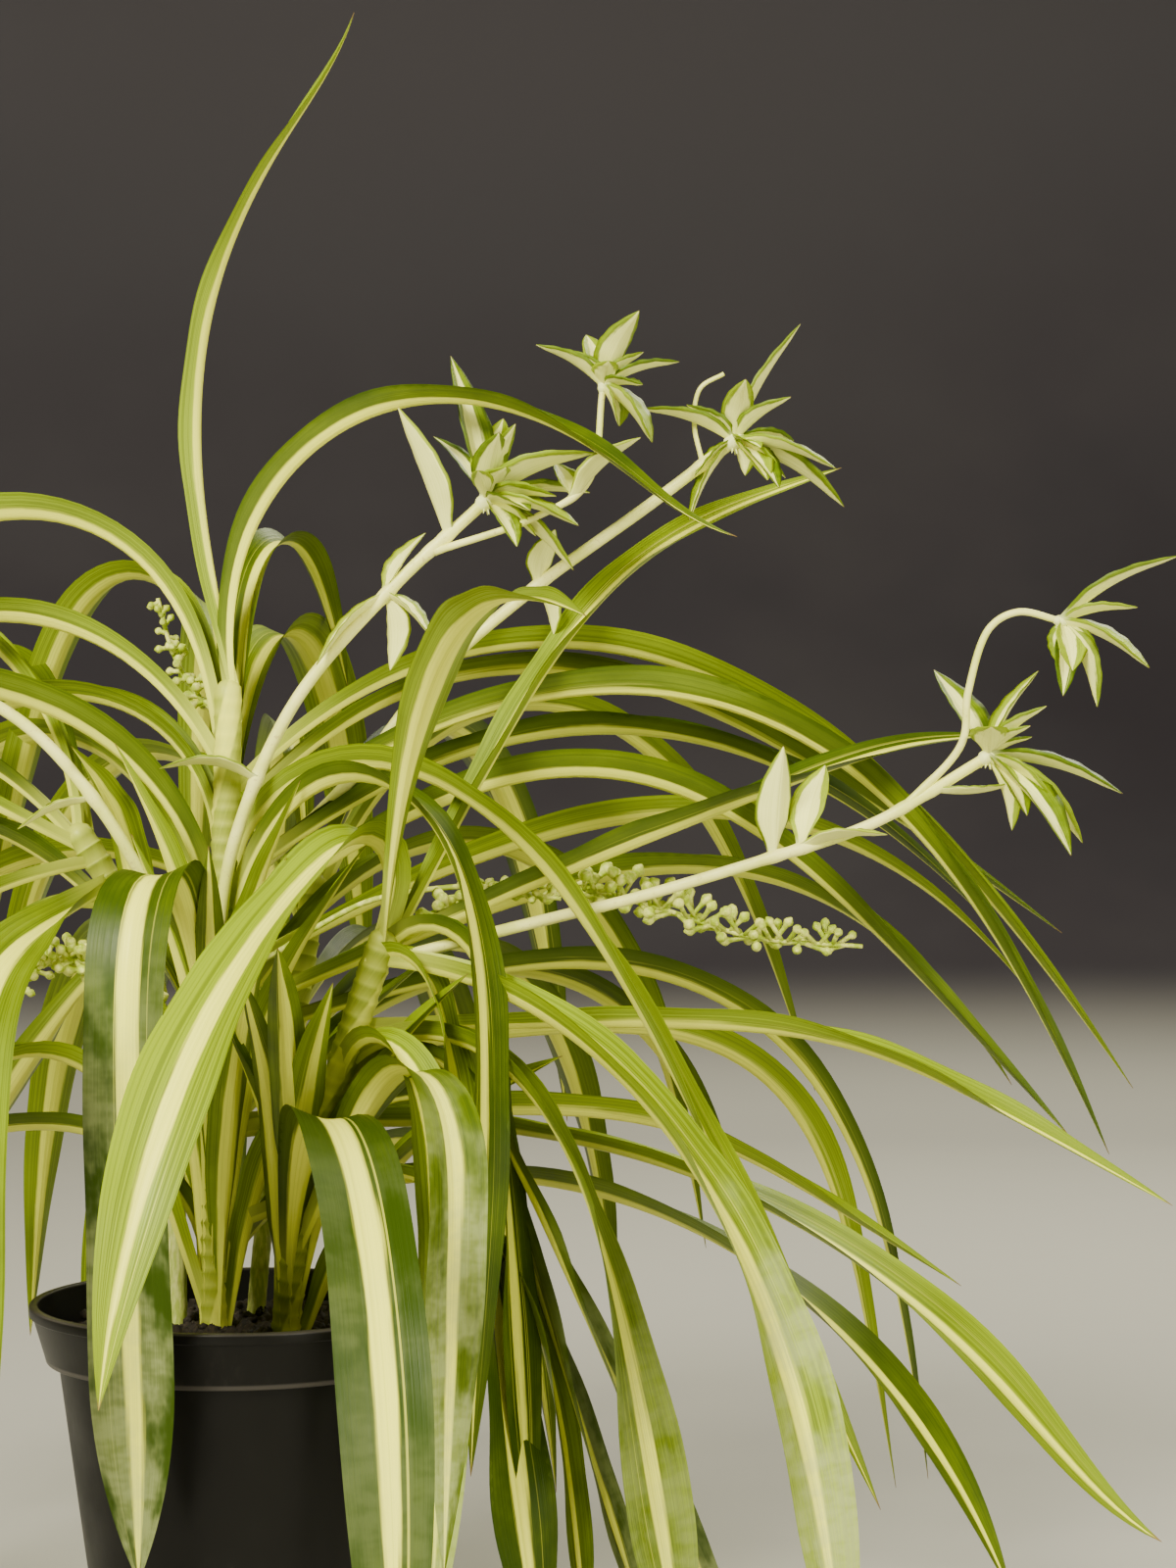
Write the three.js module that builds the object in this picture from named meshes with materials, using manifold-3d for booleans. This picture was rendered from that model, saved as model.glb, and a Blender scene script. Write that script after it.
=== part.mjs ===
// A potted spider plant: a nursery pot, soil, four leafy stems, flower stalks with plantlets and buds.
// Millimetres, +Z up. The origin is the centre of the pot's underside, on the table.
import * as THREE from 'three';
import { mergeVertices } from 'three/addons/utils/BufferGeometryUtils.js';
import Module from 'manifold-3d';

const wasm = await Module();
wasm.setup();

// ---- driving dimensions -------------------------------------------------------------------
const POT_HEIGHT = 125;
const POT_RIM_RADIUS = 70;        // outside of the lip
const POT_FOOT_RADIUS = 45.5;
const POT_BAND_DEPTH = 19;        // the wide band below the lip
const POT_BAND_RADIUS = 64.5;     // the band's lower edge, which stands out over the body
const POT_BODY_RADIUS = 60.3;     // the body just below the band
const POT_WALL = 2;
const POT_FLOOR = 3;
const SOIL_LEVEL = 115;
const DRAIN_HOLES = 5;
const DRAIN_HOLE_RADIUS = 4;
const SEAT_GAP = 0.3;             // clearance between neighbouring pieces
const STEM_FOOT = 100;            // height at which the stems end, buried in the soil
const SHEATH_WALL = 1.5;          // leaf sheaths that wrap a stem
const PLANTLET_WALL = 2.4;        // core of a plantlet round the tip of its stalk
const BLADE_THICKNESS = 1.3;      // along the rib of a blade, which thins to its margins
const BLADE_STEPS = 8;
const LEAFLET_STEPS = 3;
const STEM_STEPS = 8;
const PATH_SAMPLES = 60;
const SMALLEST_DETAIL = 0.02;     // slivers thinner than this are merged into their neighbours
const BEND_SHARE = 0.4;           // how strongly a bend draws the stations of a blade together

const rad = THREE.MathUtils.degToRad;
const { clamp, lerp, smoothstep } = THREE.MathUtils;
const vec = (p) => new THREE.Vector3(...p);
const direction = (tilt, turn) => new THREE.Vector3(
  Math.sin(tilt) * Math.cos(turn), Math.sin(tilt) * Math.sin(turn), Math.cos(tilt),
);

// ---- solids -------------------------------------------------------------------------------
// A closed geometry with shared vertices becomes a solid that can be joined and cut.
function solid(geometry) {
  const bare = geometry.clone();
  bare.deleteAttribute('normal');
  bare.deleteAttribute('uv');
  const merged = mergeVertices(bare, 1e-4);
  return new wasm.Manifold(new wasm.Mesh({
    numProp: 3,
    vertProperties: new Float32Array(merged.attributes.position.array),
    triVerts: new Uint32Array(merged.index.array),
  }));
}

const join = (solids) => solids.reduce((sum, next) => sum.add(next));

// The largest body of a solid: crumbs cut off a root and pockets between crossing roots are dropped.
const whole = (body) => body.decompose().reduce((a, b) => (b.volume() > a.volume() ? b : a));

function toGeometry(body) {
  const mesh = body.asOriginal().simplify(SMALLEST_DETAIL).getMesh();
  const geometry = new THREE.BufferGeometry();
  geometry.setAttribute('position', new THREE.BufferAttribute(mesh.vertProperties, 3));
  geometry.setIndex(new THREE.BufferAttribute(mesh.triVerts, 1));
  geometry.computeVertexNormals();
  return geometry;
}

// A skin over a row of closed rings with equal counts of points, closed by flat or pointed ends.
// The quads' diagonals alternate round a ring, so both faces of a blade fold along the same lines.
function skin(rings, apex) {
  const sides = rings[0].length;
  const points = rings.flat();
  const faces = [];
  for (let i = 0; i + 1 < rings.length; i += 1) {
    for (let j = 0; j < sides; j += 1) {
      const a = i * sides + j;
      const b = i * sides + (j + 1) % sides;
      if (j % 2) faces.push(a, b, b + sides, a, b + sides, a + sides);
      else faces.push(a, b, a + sides, b, b + sides, a + sides);
    }
  }
  for (let j = 1; j + 1 < sides; j += 1) faces.push(0, j + 1, j);
  const last = (rings.length - 1) * sides;
  if (apex) {
    points.push(apex);
    for (let j = 0; j < sides; j += 1) faces.push(last + j, last + (j + 1) % sides, points.length - 1);
  } else {
    for (let j = 1; j + 1 < sides; j += 1) faces.push(last, last + j, last + j + 1);
  }
  const geometry = new THREE.BufferGeometry().setFromPoints(points);
  geometry.setIndex(faces);
  return solid(geometry);
}

// A tube of constant radius along a curve, from one fraction of its length to another.
function tube(curve, radius, from = 0, to = 1, steps = 12, sides = 6) {
  const part = new THREE.CatmullRomCurve3(
    Array.from({ length: steps + 1 }, (_, i) => curve.getPoint(lerp(from, to, i / steps))),
  );
  const section = new THREE.Shape();
  for (let j = 0; j < sides; j += 1) {
    const turn = 2 * Math.PI * j / sides;
    section[j ? 'lineTo' : 'moveTo'](radius * Math.cos(turn), radius * Math.sin(turn));
  }
  section.closePath();
  return solid(new THREE.ExtrudeGeometry(section, { steps, extrudePath: part, curveSegments: 1 }));
}

const ball = (centre, radius, detail = 0) => (
  solid(new THREE.IcosahedronGeometry(radius, detail).translate(...centre))
);

// ---- blades -------------------------------------------------------------------------------
// A blade leaves its base at the angle `rise` from the vertical, bends over at the fraction
// `bend` of its length, the more suddenly the smaller `sharp`, and ends at the angle `fall`.
// `azimuth` is its heading, counted from +X towards +Y, and `sweep` turns it along the way;
// `droop` adds an even bend, and `flick` turns the last fifth.
function bladePath(base, leaf, steps) {
  const { azimuth, sweep = 0, rise, fall, bend, sharp, length, droop = 0, flick = 0 } = leaf;
  const step = (s) => Math.tanh((s - bend) / sharp);
  const heading = (s) => ({
    tilt: rad(rise + (fall - rise) * (step(s) - step(0)) / (step(1) - step(0)) + droop * s
      + flick * clamp((s - 0.8) / 0.2, 0, 1) ** 2),
    turn: rad(azimuth + sweep * s),
  });
  const walk = [{ s: 0, point: base.clone(), reach: 0, ...heading(0) }];
  for (let i = 1; i <= PATH_SAMPLES; i += 1) {
    const s = i / PATH_SAMPLES;
    const { tilt, turn } = heading(s - 0.5 / PATH_SAMPLES);
    const { point, reach, tilt: before } = walk[i - 1];
    const next = point.clone().addScaledVector(direction(tilt, turn), length / PATH_SAMPLES);
    const here = heading(s);
    walk.push({
      s, point: next, reach: reach + 1 / PATH_SAMPLES + BEND_SHARE * Math.abs(here.tilt - before), ...here,
    });
  }
  // Stations lie closer together where the blade bends.
  const total = walk[PATH_SAMPLES].reach;
  return Array.from({ length: steps + 1 }, (_, i) => (
    walk.find(({ reach }) => reach >= total * i / steps - 1e-9)
  ));
}

// The blade is a gutter: both halves rise from a rib, steeply at the narrow base and flatter
// towards the pointed tip. `root` is the width of the base as a share of the full width, and
// `taper` is where the blade starts to narrow towards its tip.
function blade(base, leaf, steps = BLADE_STEPS) {
  const { width, fold = 50, root = 0.42, taper = 0.45 } = leaf;
  const thickness = Math.min(BLADE_THICKNESS, 0.16 * width + 0.2);
  const stations = bladePath(base, leaf, steps);
  const rings = stations.slice(0, -1).map(({ s, point, tilt, turn }) => {
    const along = direction(tilt, turn);
    const side = new THREE.Vector3(-Math.sin(turn), Math.cos(turn), 0);
    const up = new THREE.Vector3().crossVectors(along, side);
    const half = 0.5 * width * lerp(root, 1, smoothstep(s, 0, 0.38))
      * (1 - clamp((s - taper) / (1 - taper), 0, 1) ** 2);
    const lift = rad(s < 0.3 ? lerp(72, fold, s / 0.3) : lerp(fold, 0.6 * fold, (s - 0.3) / 0.7));
    const deep = 0.5 * thickness * Math.min(1, 0.35 + half / (0.3 * width));
    const place = (across, height) => point.clone()
      .addScaledVector(side, across).addScaledVector(up, height);
    return [
      place(half * Math.cos(lift), half * Math.sin(lift)),
      place(0, deep),
      place(-half * Math.cos(lift), half * Math.sin(lift)),
      place(0, -deep),
    ];
  });
  return skin(rings, stations[steps].point);
}

// ---- pot ----------------------------------------------------------------------------------
const bandTop = POT_HEIGHT - POT_BAND_DEPTH;

function potInsideRadius(z) {
  if (z >= bandTop) {
    return lerp(POT_BAND_RADIUS, POT_RIM_RADIUS - 0.9, (z - bandTop) / POT_BAND_DEPTH) - POT_WALL;
  }
  return lerp(POT_FOOT_RADIUS, POT_BODY_RADIUS, z / bandTop) - POT_WALL;
}

function makePot() {
  const outline = [
    [0, 0], [POT_FOOT_RADIUS - 0.6, 0], [POT_FOOT_RADIUS, 0.8], [POT_BODY_RADIUS, bandTop],
    [POT_BAND_RADIUS - 0.8, bandTop], [POT_BAND_RADIUS, bandTop + 0.9],
    [POT_RIM_RADIUS - 1, POT_HEIGHT - 3.6], [POT_RIM_RADIUS, POT_HEIGHT - 3],
    [POT_RIM_RADIUS, POT_HEIGHT - 0.6], [POT_RIM_RADIUS - 0.7, POT_HEIGHT],
    [potInsideRadius(POT_HEIGHT), POT_HEIGHT], [potInsideRadius(bandTop + 2.2), bandTop + 2.2],
    [POT_BODY_RADIUS - POT_WALL, bandTop + 1.6], [potInsideRadius(POT_FLOOR), POT_FLOOR], [0, POT_FLOOR],
  ].map(([r, z]) => new THREE.Vector2(r, z));
  const wall = solid(new THREE.LatheGeometry(outline, 32).rotateX(Math.PI / 2));
  const holes = Array.from({ length: DRAIN_HOLES }, (_, i) => {
    const turn = 2 * Math.PI * (i + 0.5) / DRAIN_HOLES;
    const reach = POT_FOOT_RADIUS - 14;
    return solid(new THREE.CylinderGeometry(DRAIN_HOLE_RADIUS, DRAIN_HOLE_RADIUS, 12, 10)
      .rotateX(Math.PI / 2).translate(reach * Math.cos(turn), reach * Math.sin(turn), 0));
  });
  return wall.subtract(join(holes));
}

// ---- stems --------------------------------------------------------------------------------
// Each stem is a bezier curve from its buried foot to its crown; leaf sheaths wrap it from the
// fraction `sheathFrom` of its height to a cap over the crown.
const STEMS = {
  center: {
    radius: 3.5, sheathFrom: 0.03,
    points: [[-8, 0, STEM_FOOT], [-12, 0, 180], [-4, 0, 250], [-4, 0, 328]],
  },
  right: {
    radius: 3.6, sheathFrom: 0.05,
    points: [[16, -10, STEM_FOOT], [16, -16, 150], [34, -30, 200], [50, -36, 246]],
  },
  left: {
    radius: 3.4, sheathFrom: 0.6,
    points: [[-22, 8, STEM_FOOT], [-22, 10, 200], [-24, 8, 236], [-54, 4, 280]],
  },
  back: {
    radius: 3.4, sheathFrom: 0.5,
    points: [[2, 24, STEM_FOOT], [4, 30, 160], [14, 44, 210], [20, 54, 262]],
  },
};
for (const stem of Object.values(STEMS)) stem.curve = new THREE.CubicBezierCurve3(...stem.points.map(vec));

const makeStem = ({ curve, radius }) => tube(curve, radius, 0, 1, STEM_STEPS, 8);

// The room that a stem takes, with clearance all round and past both of its ends.
function stemRoom({ curve, radius }, gap) {
  const foot = curve.getPoint(0);
  return join([
    tube(curve, radius + gap, 0, 1, STEM_STEPS, 8),
    ball(curve.getPoint(1).toArray(), (radius + gap) * 1.04, 1),
    solid(new THREE.CylinderGeometry(radius + gap, radius + gap, 3, 8)
      .rotateX(Math.PI / 2).translate(foot.x, foot.y, foot.z + 1.5 - gap)),
  ]);
}

// Leaves of each stem: [fraction of the stem's height, azimuth, sweep, rise, fall, bend, sharp,
// length, width, fold, and what else shapes the blade].
const LEAVES = {
  center: [
    [0.99, 0, 0, -14, 39, 0.55, 0.35, 245, 12, 50, { flick: -22 }],
    [0.96, -15, 0, -13, 140, 0.4, 0.45, 260, 14, 50, { flick: -35 }],
    [0.94, 185, 0, 7, 140, 0.25, 0.2, 340, 16, 45],
    [0.92, 140, 0, 7, 162, 0.25, 0.15, 305, 15, 45],
    [0.9, 190, 0, 28, 149, 0.25, 0.3, 295, 17, 45],
    [0.86, 10, 0, 43, 144, 0.25, 0.4, 390, 17, 55],
    [0.84, 100, 0, 22, 160, 0.35, 0.3, 320, 17, 45],
    [0.82, 20, 0, 43, 123, 0.25, 0.3, 350, 16, 55],
    [0.8, 5, 0, 58, 155, 0.45, 0.3, 385, 17, 55],
    [0.78, 60, 10, 4, 150, 0.6, 0.15, 190, 15, 50],
    [0.74, 160, 0, -7, 147, 0.1, 0.35, 305, 17, 45],
    [0.72, 15, 0, 52, 135, 0.5, 0.5, 305, 17, 55],
    [0.7, -18, 0, -2, 154, 0.05, 0.25, 375, 21, 30],
    [0.7, 75, 0, 8, 165, 0.4, 0.2, 290, 20, 40],
    [0.66, 5, 0, 56, 137, 0.4, 0.2, 345, 18, 55],
    [0.66, -33, -15, 20, 184, 0.25, 0.2, 325, 18, 25],
    [0.66, 140, 0, 28, 165, 0.35, 0.3, 320, 18, 40],
    [0.6, 195, 0, -5, 144, 0.05, 0.55, 370, 20, 40],
    [0.58, 20, 0, 63, 139, 0.7, 0.4, 330, 17, 55],
    [0.52, 10, 0, 67, 145, 0.65, 0.25, 310, 18, 50],
    [0.5, 40, 0, 38, 166, 0.4, 0.3, 330, 18, 40],
    [0.48, 20, 0, 73, 172, 0.5, 0.25, 385, 17, 45],
    [0.44, 25, 0, 85, 169, 0.55, 0.15, 375, 19, 40],
    [0.42, 258, 0, 21, 184, 0.3, 0.1, 310, 23, 15, { taper: 0.65 }],
    [0.42, 118, 0, 40, 168, 0.35, 0.3, 310, 18, 40],
    [0.36, 15, 0, 89, 122, 0.55, 0.15, 280, 16, 50],
    [0.345, 33, 0, 50, 168, 0.45, 0.3, 330, 19, 40],
    [0.34, -5, 0, 81, 150, 0.55, 0.7, 355, 20, 40, { flick: -30 }],
    [0.3, 95, 0, 40, 170, 0.4, 0.3, 300, 18, 40],
    [0.2, -5, 0, 65, 158, 0.4, 0.75, 325, 18, 45],
    [0.16, 112, 0, 50, 172, 0.4, 0.3, 270, 17, 40],
    [0.14, 52, 0, 50, 170, 0.4, 0.3, 280, 17, 40],
    [0.1, 185, 0, -10, 137, 0.1, 0.3, 310, 17, 40],
    [0.09, 205, 0, 18, 165, 0.45, 0.15, 250, 15, 40],
  ],
  right: [
    [1, 16, -5, 69, 86, 0.85, 0.1, 220, 17, 45],
    [1, -75, 0, 22, 100, 0.25, 0.5, 295, 15, 50],
    [0.97, 35, 0, 32, 72, 0.6, 0.2, 265, 13, 50],
    [0.96, 225, 20, -27, 109, 0.15, 0.05, 260, 25, 20, { droop: 60 }],
    [0.95, -25, 0, 93, 176, 0.05, 0.65, 305, 24, 35, { taper: 0.6 }],
    [0.9, -12, 0, 2, 176, 0.1, 0.1, 240, 20, 20],
    [0.86, -25, 0, -29, 172, 0.1, 0.15, 135, 18, 20],
    [0.8, 10, 0, 90, 119, 0.55, 0.15, 290, 15, 50],
    [0.72, -20, 0, 50, 170, 0.05, 0.25, 270, 23, 15, { taper: 0.65 }],
    [0.66, -53, 0, 10, 184, 0.05, 0.2, 250, 20, 20],
    [0.6, -10, 0, 16, 155, 0.1, 0.1, 275, 20, 20],
    [0.55, -20, 0, 30, 172, 0.15, 0.1, 240, 22, 15, { taper: 0.65 }],
    [0.5, -5, 0, 33, 162, 0.15, 0.1, 250, 16, 30],
    [0.45, -10, 0, 69, 175, 0.1, 0.3, 215, 14, 30],
    [0.3, -55, -5, 40, 184, 0.4, 0.1, 265, 18, 20],
    [0.13, -75, 0, 9, 177, 0.3, 0.35, 345, 23, 15, { taper: 0.65 }],
  ],
  left: [
    [0.98, 170, 0, 0, 147, 0.25, 0.45, 315, 14, 50],
    [0.98, 165, 0, 42, 149, 0.3, 0.35, 270, 15, 50],
    [0.97, 208, 0, 64, 150, 0.45, 0.15, 275, 15, 50],
    [0.945, 125, 0, 25, 160, 0.4, 0.3, 300, 16, 40],
    [0.925, 210, 0, 99, 169, 0.25, 0.3, 270, 16, 45],
    [0.865, 265, 0, 99, 182, 0.4, 0.1, 310, 22, 20],
    [0.8, 230, 0, 67, 173, 0.05, 0.2, 290, 20, 30],
    [0.75, 150, 0, 50, 168, 0.4, 0.3, 280, 17, 40],
    [0.7, 130, 0, 100, 130, 0.05, 0.1, 260, 16, 40],
  ],
  back: [
    [0.97, 30, 0, 25, 160, 0.35, 0.3, 320, 17, 40],
    [0.95, 65, 0, 28, 165, 0.35, 0.3, 330, 18, 40],
    [0.93, 100, 0, 25, 168, 0.35, 0.3, 330, 18, 40],
    [0.9, 135, 0, 28, 165, 0.35, 0.3, 310, 18, 40],
    [0.867, 177, 0, 50, 170, 0.35, 0.3, 285, 17, 40],
    [0.7, 70, 0, 55, 172, 0.35, 0.3, 290, 19, 35],
    [0.65, 120, 0, 45, 172, 0.35, 0.3, 280, 18, 35],
    [0.6, 50, 0, 45, 170, 0.35, 0.3, 290, 18, 35],
  ],
};
const describe = ([at, azimuth, sweep, rise, fall, bend, sharp, length, width, fold, more]) => (
  { at, azimuth, sweep, rise, fall, bend, sharp, length, width, fold, ...more }
);

// The leaves of one stem, joined by the sheaths that wrap it, and hollow where it passes.
function makeLeaves(stem, rows) {
  const outer = stem.radius + SEAT_GAP + SHEATH_WALL;
  const blades = rows.map(describe).map((leaf) => {
    const turn = rad(leaf.azimuth);
    const base = stem.curve.getPoint(leaf.at)
      .addScaledVector(direction(Math.PI / 2, turn), outer - 0.5 * SHEATH_WALL);
    return blade(base, leaf);
  });
  const sheath = tube(stem.curve, outer, stem.sheathFrom, 1, STEM_STEPS, 8);
  const cap = ball(stem.curve.getPoint(1).toArray(), outer * 1.06, 1);
  return whole(join([sheath, cap, ...blades]).subtract(stemRoom(stem, SEAT_GAP)));
}

// ---- runners ------------------------------------------------------------------------------
// A small leaf: it leans `lean` degrees from upright towards +X and `fore` degrees towards the
// front, and bends down by `curl` degrees on its way out.
function leaflet(base, [lean, fore, length, width, curl = 25]) {
  const heading = new THREE.Vector3(Math.sin(rad(lean)), 0, Math.cos(rad(lean)))
    .multiplyScalar(Math.cos(rad(fore))).add(new THREE.Vector3(0, -Math.sin(rad(fore)), 0));
  const rise = THREE.MathUtils.radToDeg(Math.acos(heading.z));
  const azimuth = THREE.MathUtils.radToDeg(Math.atan2(heading.y, heading.x));
  return blade(vec(base), {
    azimuth, rise, fall: rise + curl, bend: 0.5, sharp: 0.4, length, width, fold: 30,
  }, LEAFLET_STEPS);
}

// Each runner arches out of a leafy stem along `path`. Thin branches part from it, and bracts,
// `[point, [lean, fore, length, width, curl]]`, clasp it. A plantlet sits on the tips it names.
const RUNNERS = {
  1: {
    stem: 'center',
    radius: 2.4,
    path: [[-7, -5, 245], [-1, -10, 278], [19, -14, 324], [52, -15, 363], [83, -13, 392]],
    branches: [{ radius: 1.3, path: [[66, -15, 375], [101, -16, 387], [117, -16, 398], [122, -14, 430]] }],
    bracts: [
      [[7, -13, 299], [-60, 8, 34, 6.5, 45]], [[70, -14, 380], [-18, 10, 46, 8, 5]],
      [[50, -15, 361], [20, -15, 27, 5]], [[50, -15, 361], [120, 20, 22, 5]],
      [[50, -15, 361], [167, -10, 26, 6.5]], [[50, -15, 361], [-124, 15, 34, 5]],
      [[112, -16, 392], [-15, -20, 17, 5]], [[112, -16, 392], [36, 15, 32, 6.5]],
    ],
  },
  2: {
    stem: 'center',
    radius: 2.4,
    path: [
      [-4, 2, 262], [7, 9.5, 271], [19, 13, 282], [31, 15, 294], [42, 12.5, 306], [64, 9, 334],
      [97, 8, 363], [137, 8, 392], [166.4, 8.3, 414.2],
    ],
    branches: [{ radius: 0.9, path: [[156, 8, 406], [153, 8, 420], [155, 8, 432], [163, 8, 437]] }],
    bracts: [[[100, 8, 365], [10, 15, 22, 5]], [[100, 8, 365], [150, -15, 18, 5]]],
  },
  3: {
    stem: 'right',
    radius: 2.2,
    path: [
      [50, -35, 240], [69, -33, 245], [88, -33, 250], [109, -28, 255], [130, -27, 260], [174, -28, 273],
      [210, -28, 285], [248, -28, 307],
    ],
    branches: [{
      radius: 1.4,
      path: [[220, -28, 290], [239, -30, 311], [241, -32, 328], [248, -33, 349], [257, -34, 354], [271, -34, 351]],
    }],
    bracts: [
      [[178, -28, 274], [3, 5, 37, 6.4, 5]], [[187, -28, 277], [11, -20, 34, 6]],
      [[187, -28, 277], [67, 20, 30, 6]], [[230, -28, 296], [97, 0, 27, 4.5, -25]],
    ],
  },
  left: {
    stem: 'center',
    radius: 2.3,
    path: [
      [-10, -5, 228], [-20, -13, 247], [-42, -27, 289], [-65, -32, 316], [-88, -35, 330], [-124, -35, 343],
      [-176, -35, 350],
    ],
    branches: [],
    bracts: [
      [[-128, -35, 344], [-15, 20, 30, 6]], [[-128, -35, 344], [30, -20, 24, 5]],
      [[-46, -28, 293], [-100, 10, 26, 5]],
    ],
  },
};
const through = (points) => new THREE.CatmullRomCurve3(points.map(vec));
const sheathRoom = (stem) => stemRoom(stem, 2 * SEAT_GAP + SHEATH_WALL);

function makeRunner({ stem, radius, path, branches, bracts }) {
  return whole(join([
    tube(through(path), radius, 0, 1, path.length + 4, 6),
    ...branches.map((branch) => tube(through(branch.path), branch.radius, 0, 1, branch.path.length + 3, 5)),
    ...bracts.map(([base, shape]) => leaflet(base, shape)),
  ]).subtract(sheathRoom(STEMS[stem])));
}

// A plantlet is a rosette of small leaves around a core, in which the tip of its stalk ends.
const PLANTLETS = {
  a: { stalk: RUNNERS[1], leaves: [
    [-10, -10, 53, 6.6, 10], [6, -20, 36, 6], [16, 30, 34, 4], [-26, -35, 44, 4], [55, 15, 42, 10],
    [70, -20, 38, 7], [93, 25, 36, 7], [115, -10, 38, 6.6],
  ] },
  b: { stalk: RUNNERS[1].branches[0], leaves: [
    [-47, 13, 27, 5], [-10, -22, 24, 5], [18, 24, 31, 6], [58, -10, 28, 5.5], [127, 12, 26, 9],
  ] },
  c: { stalk: RUNNERS[2], leaves: [
    [-60, 15, 36, 6], [6, 35, 28, 5], [22, 0, 46, 6, 15], [73, -25, 24, 6], [94, 20, 38, 6.5],
    [107, -10, 45, 8], [130, 40, 22, 7], [-138, 10, 32, 5],
  ] },
  d: { stalk: RUNNERS[3], leaves: [
    [-24, -28, 39, 7, 10], [19, -5, 34, 5], [34, 25, 28, 4.5], [93, 15, 46, 8.5], [119, -10, 44, 8],
    [130, 30, 45, 9],
  ] },
  e: { stalk: RUNNERS[3].branches[0], leaves: [
    [48, 10, 44, 6], [107, 25, 34, 6.5], [144, -5, 31, 7], [175, 15, 25, 4],
  ] },
  f: { stalk: RUNNERS.left, leaves: [
    [-22, 12, 40, 6], [-70, -20, 38, 7], [-100, 30, 42, 8], [-132, -13, 36, 7], [40, 30, 30, 5],
    [165, -30, 28, 6],
  ] },
};

function makePlantlet({ stalk: { radius, path }, leaves }) {
  const tip = path[path.length - 1];
  const core = ball(tip, radius + PLANTLET_WALL, 1);
  const socket = tube(through(path), radius + SEAT_GAP, 0, 1, path.length + 4, 6)
    .add(ball(tip, 1.25 * (radius + SEAT_GAP)));
  return whole(join([core, ...leaves.map((shape) => leaflet(tip, shape))]).subtract(socket));
}

// ---- bud sprays ---------------------------------------------------------------------------
// Small round buds on short stalks, set in a spiral along a thin stalk from the fraction `from`.
const BUD_SPRAYS = {
  1: {
    stem: 'center', from: 0.62, count: 9, reach: 8, size: 2.2,
    path: [
      [-6, 0, 233], [10, -1, 240], [26, 5, 250], [45, 8, 259], [88, 8, 264], [115, 8, 262], [141, 8, 256],
      [173, 8, 246], [210, 8, 243],
    ],
  },
  2: {
    stem: 'left', belowSheath: true, from: 0.3, count: 8, reach: 6, size: 2.3,
    path: [[-22, 8, 217], [-33, -4, 224], [-48, -6, 237], [-61, -6, 239], [-77, -8, 229]],
  },
  3: {
    stem: 'center', from: 0.35, count: 5, reach: 5, size: 1.8,
    path: [[-4, 3, 318], [-9, 8, 322], [-17, 11, 330], [-24, 10, 343], [-29, 10, 361]],
  },
  4: {
    stem: 'right', from: 0.4, count: 7, reach: 6, size: 2.1,
    path: [[50, -33, 240], [59, -26.6, 249.6], [64, -25, 253], [77, -20, 260], [85, -18, 262], [108, -15, 260]],
  },
};

// A bud is turned about its own stalk: the stalk, a round knob and its blunt tip.
function bud(root, out, length, size) {
  const side = new THREE.Vector3(0, 0, 1).cross(out).normalize();
  const up = new THREE.Vector3().crossVectors(out, side);
  const ring = ([reach, radius]) => Array.from({ length: 5 }, (_, j) => {
    const turn = 2 * Math.PI * j / 5;
    return root.clone().addScaledVector(out, reach)
      .addScaledVector(side, radius * Math.cos(turn)).addScaledVector(up, radius * Math.sin(turn));
  });
  const rings = [[0, 0.7], [length - size, 0.7], [length, size]];
  return skin(rings.map(ring), root.clone().addScaledVector(out, length + size));
}

function makeBudSpray({ stem, belowSheath = false, from, count, reach, size, path }) {
  const curve = through(path);
  const buds = Array.from({ length: count }, (_, i) => {
    const share = i / (count - 1);
    const out = direction(rad(70 + 40 * Math.sin(5 * i)), rad(137.5 * i));
    return bud(
      curve.getPoint(lerp(from, 0.98, share)), out, reach * (1.15 - 0.5 * share), size * (1 - 0.35 * share),
    );
  });
  return whole(join([tube(curve, 1.2, 0, 1, path.length + 3, 5), ...buds])
    .subtract(belowSheath ? stemRoom(STEMS[stem], SEAT_GAP) : sheathRoom(STEMS[stem])));
}

// ---- soil ---------------------------------------------------------------------------------
// Potting soil: a loose, lumpy top over a body that fills the pot to its wall.
function makeSoil() {
  const lump = (x, y) => 1.6 * Math.sin(0.31 * x + 0.8) * Math.cos(0.27 * y)
    + 1.1 * Math.sin(0.73 * x + 0.41 * y) + 0.7 * Math.cos(0.9 * y - 0.5 * x);
  const sides = 20;
  const ring = (radius, height) => Array.from({ length: sides }, (_, j) => {
    const turn = 2 * Math.PI * j / sides;
    const x = radius * Math.cos(turn);
    const y = radius * Math.sin(turn);
    return new THREE.Vector3(x, y, height(x, y));
  });
  const wallRadius = (z) => potInsideRadius(z) - SEAT_GAP - 0.35;
  const level = (z) => () => z;
  const rings = [
    ring(wallRadius(POT_FLOOR + 0.5) - 0.5, level(POT_FLOOR + SEAT_GAP)),
    ring(POT_BODY_RADIUS - POT_WALL - 0.65, level(bandTop + 1.8)),
    ring(POT_BODY_RADIUS - POT_WALL + 3.4, level(bandTop + 3.2)),
    ring(wallRadius(SOIL_LEVEL - 3), level(SOIL_LEVEL - 3)),
    ...[52, 36, 19].map((radius) => ring(radius, (x, y) => SOIL_LEVEL + lump(x, y))),
  ];
  const body = skin(rings, new THREE.Vector3(0, 0, SOIL_LEVEL + 1));
  const room = (stem) => stemRoom(stem, stem.sheathFrom < 0.1 ? 2 * SEAT_GAP + SHEATH_WALL : SEAT_GAP);
  return body.subtract(join(Object.values(STEMS).map(room)));
}

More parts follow.
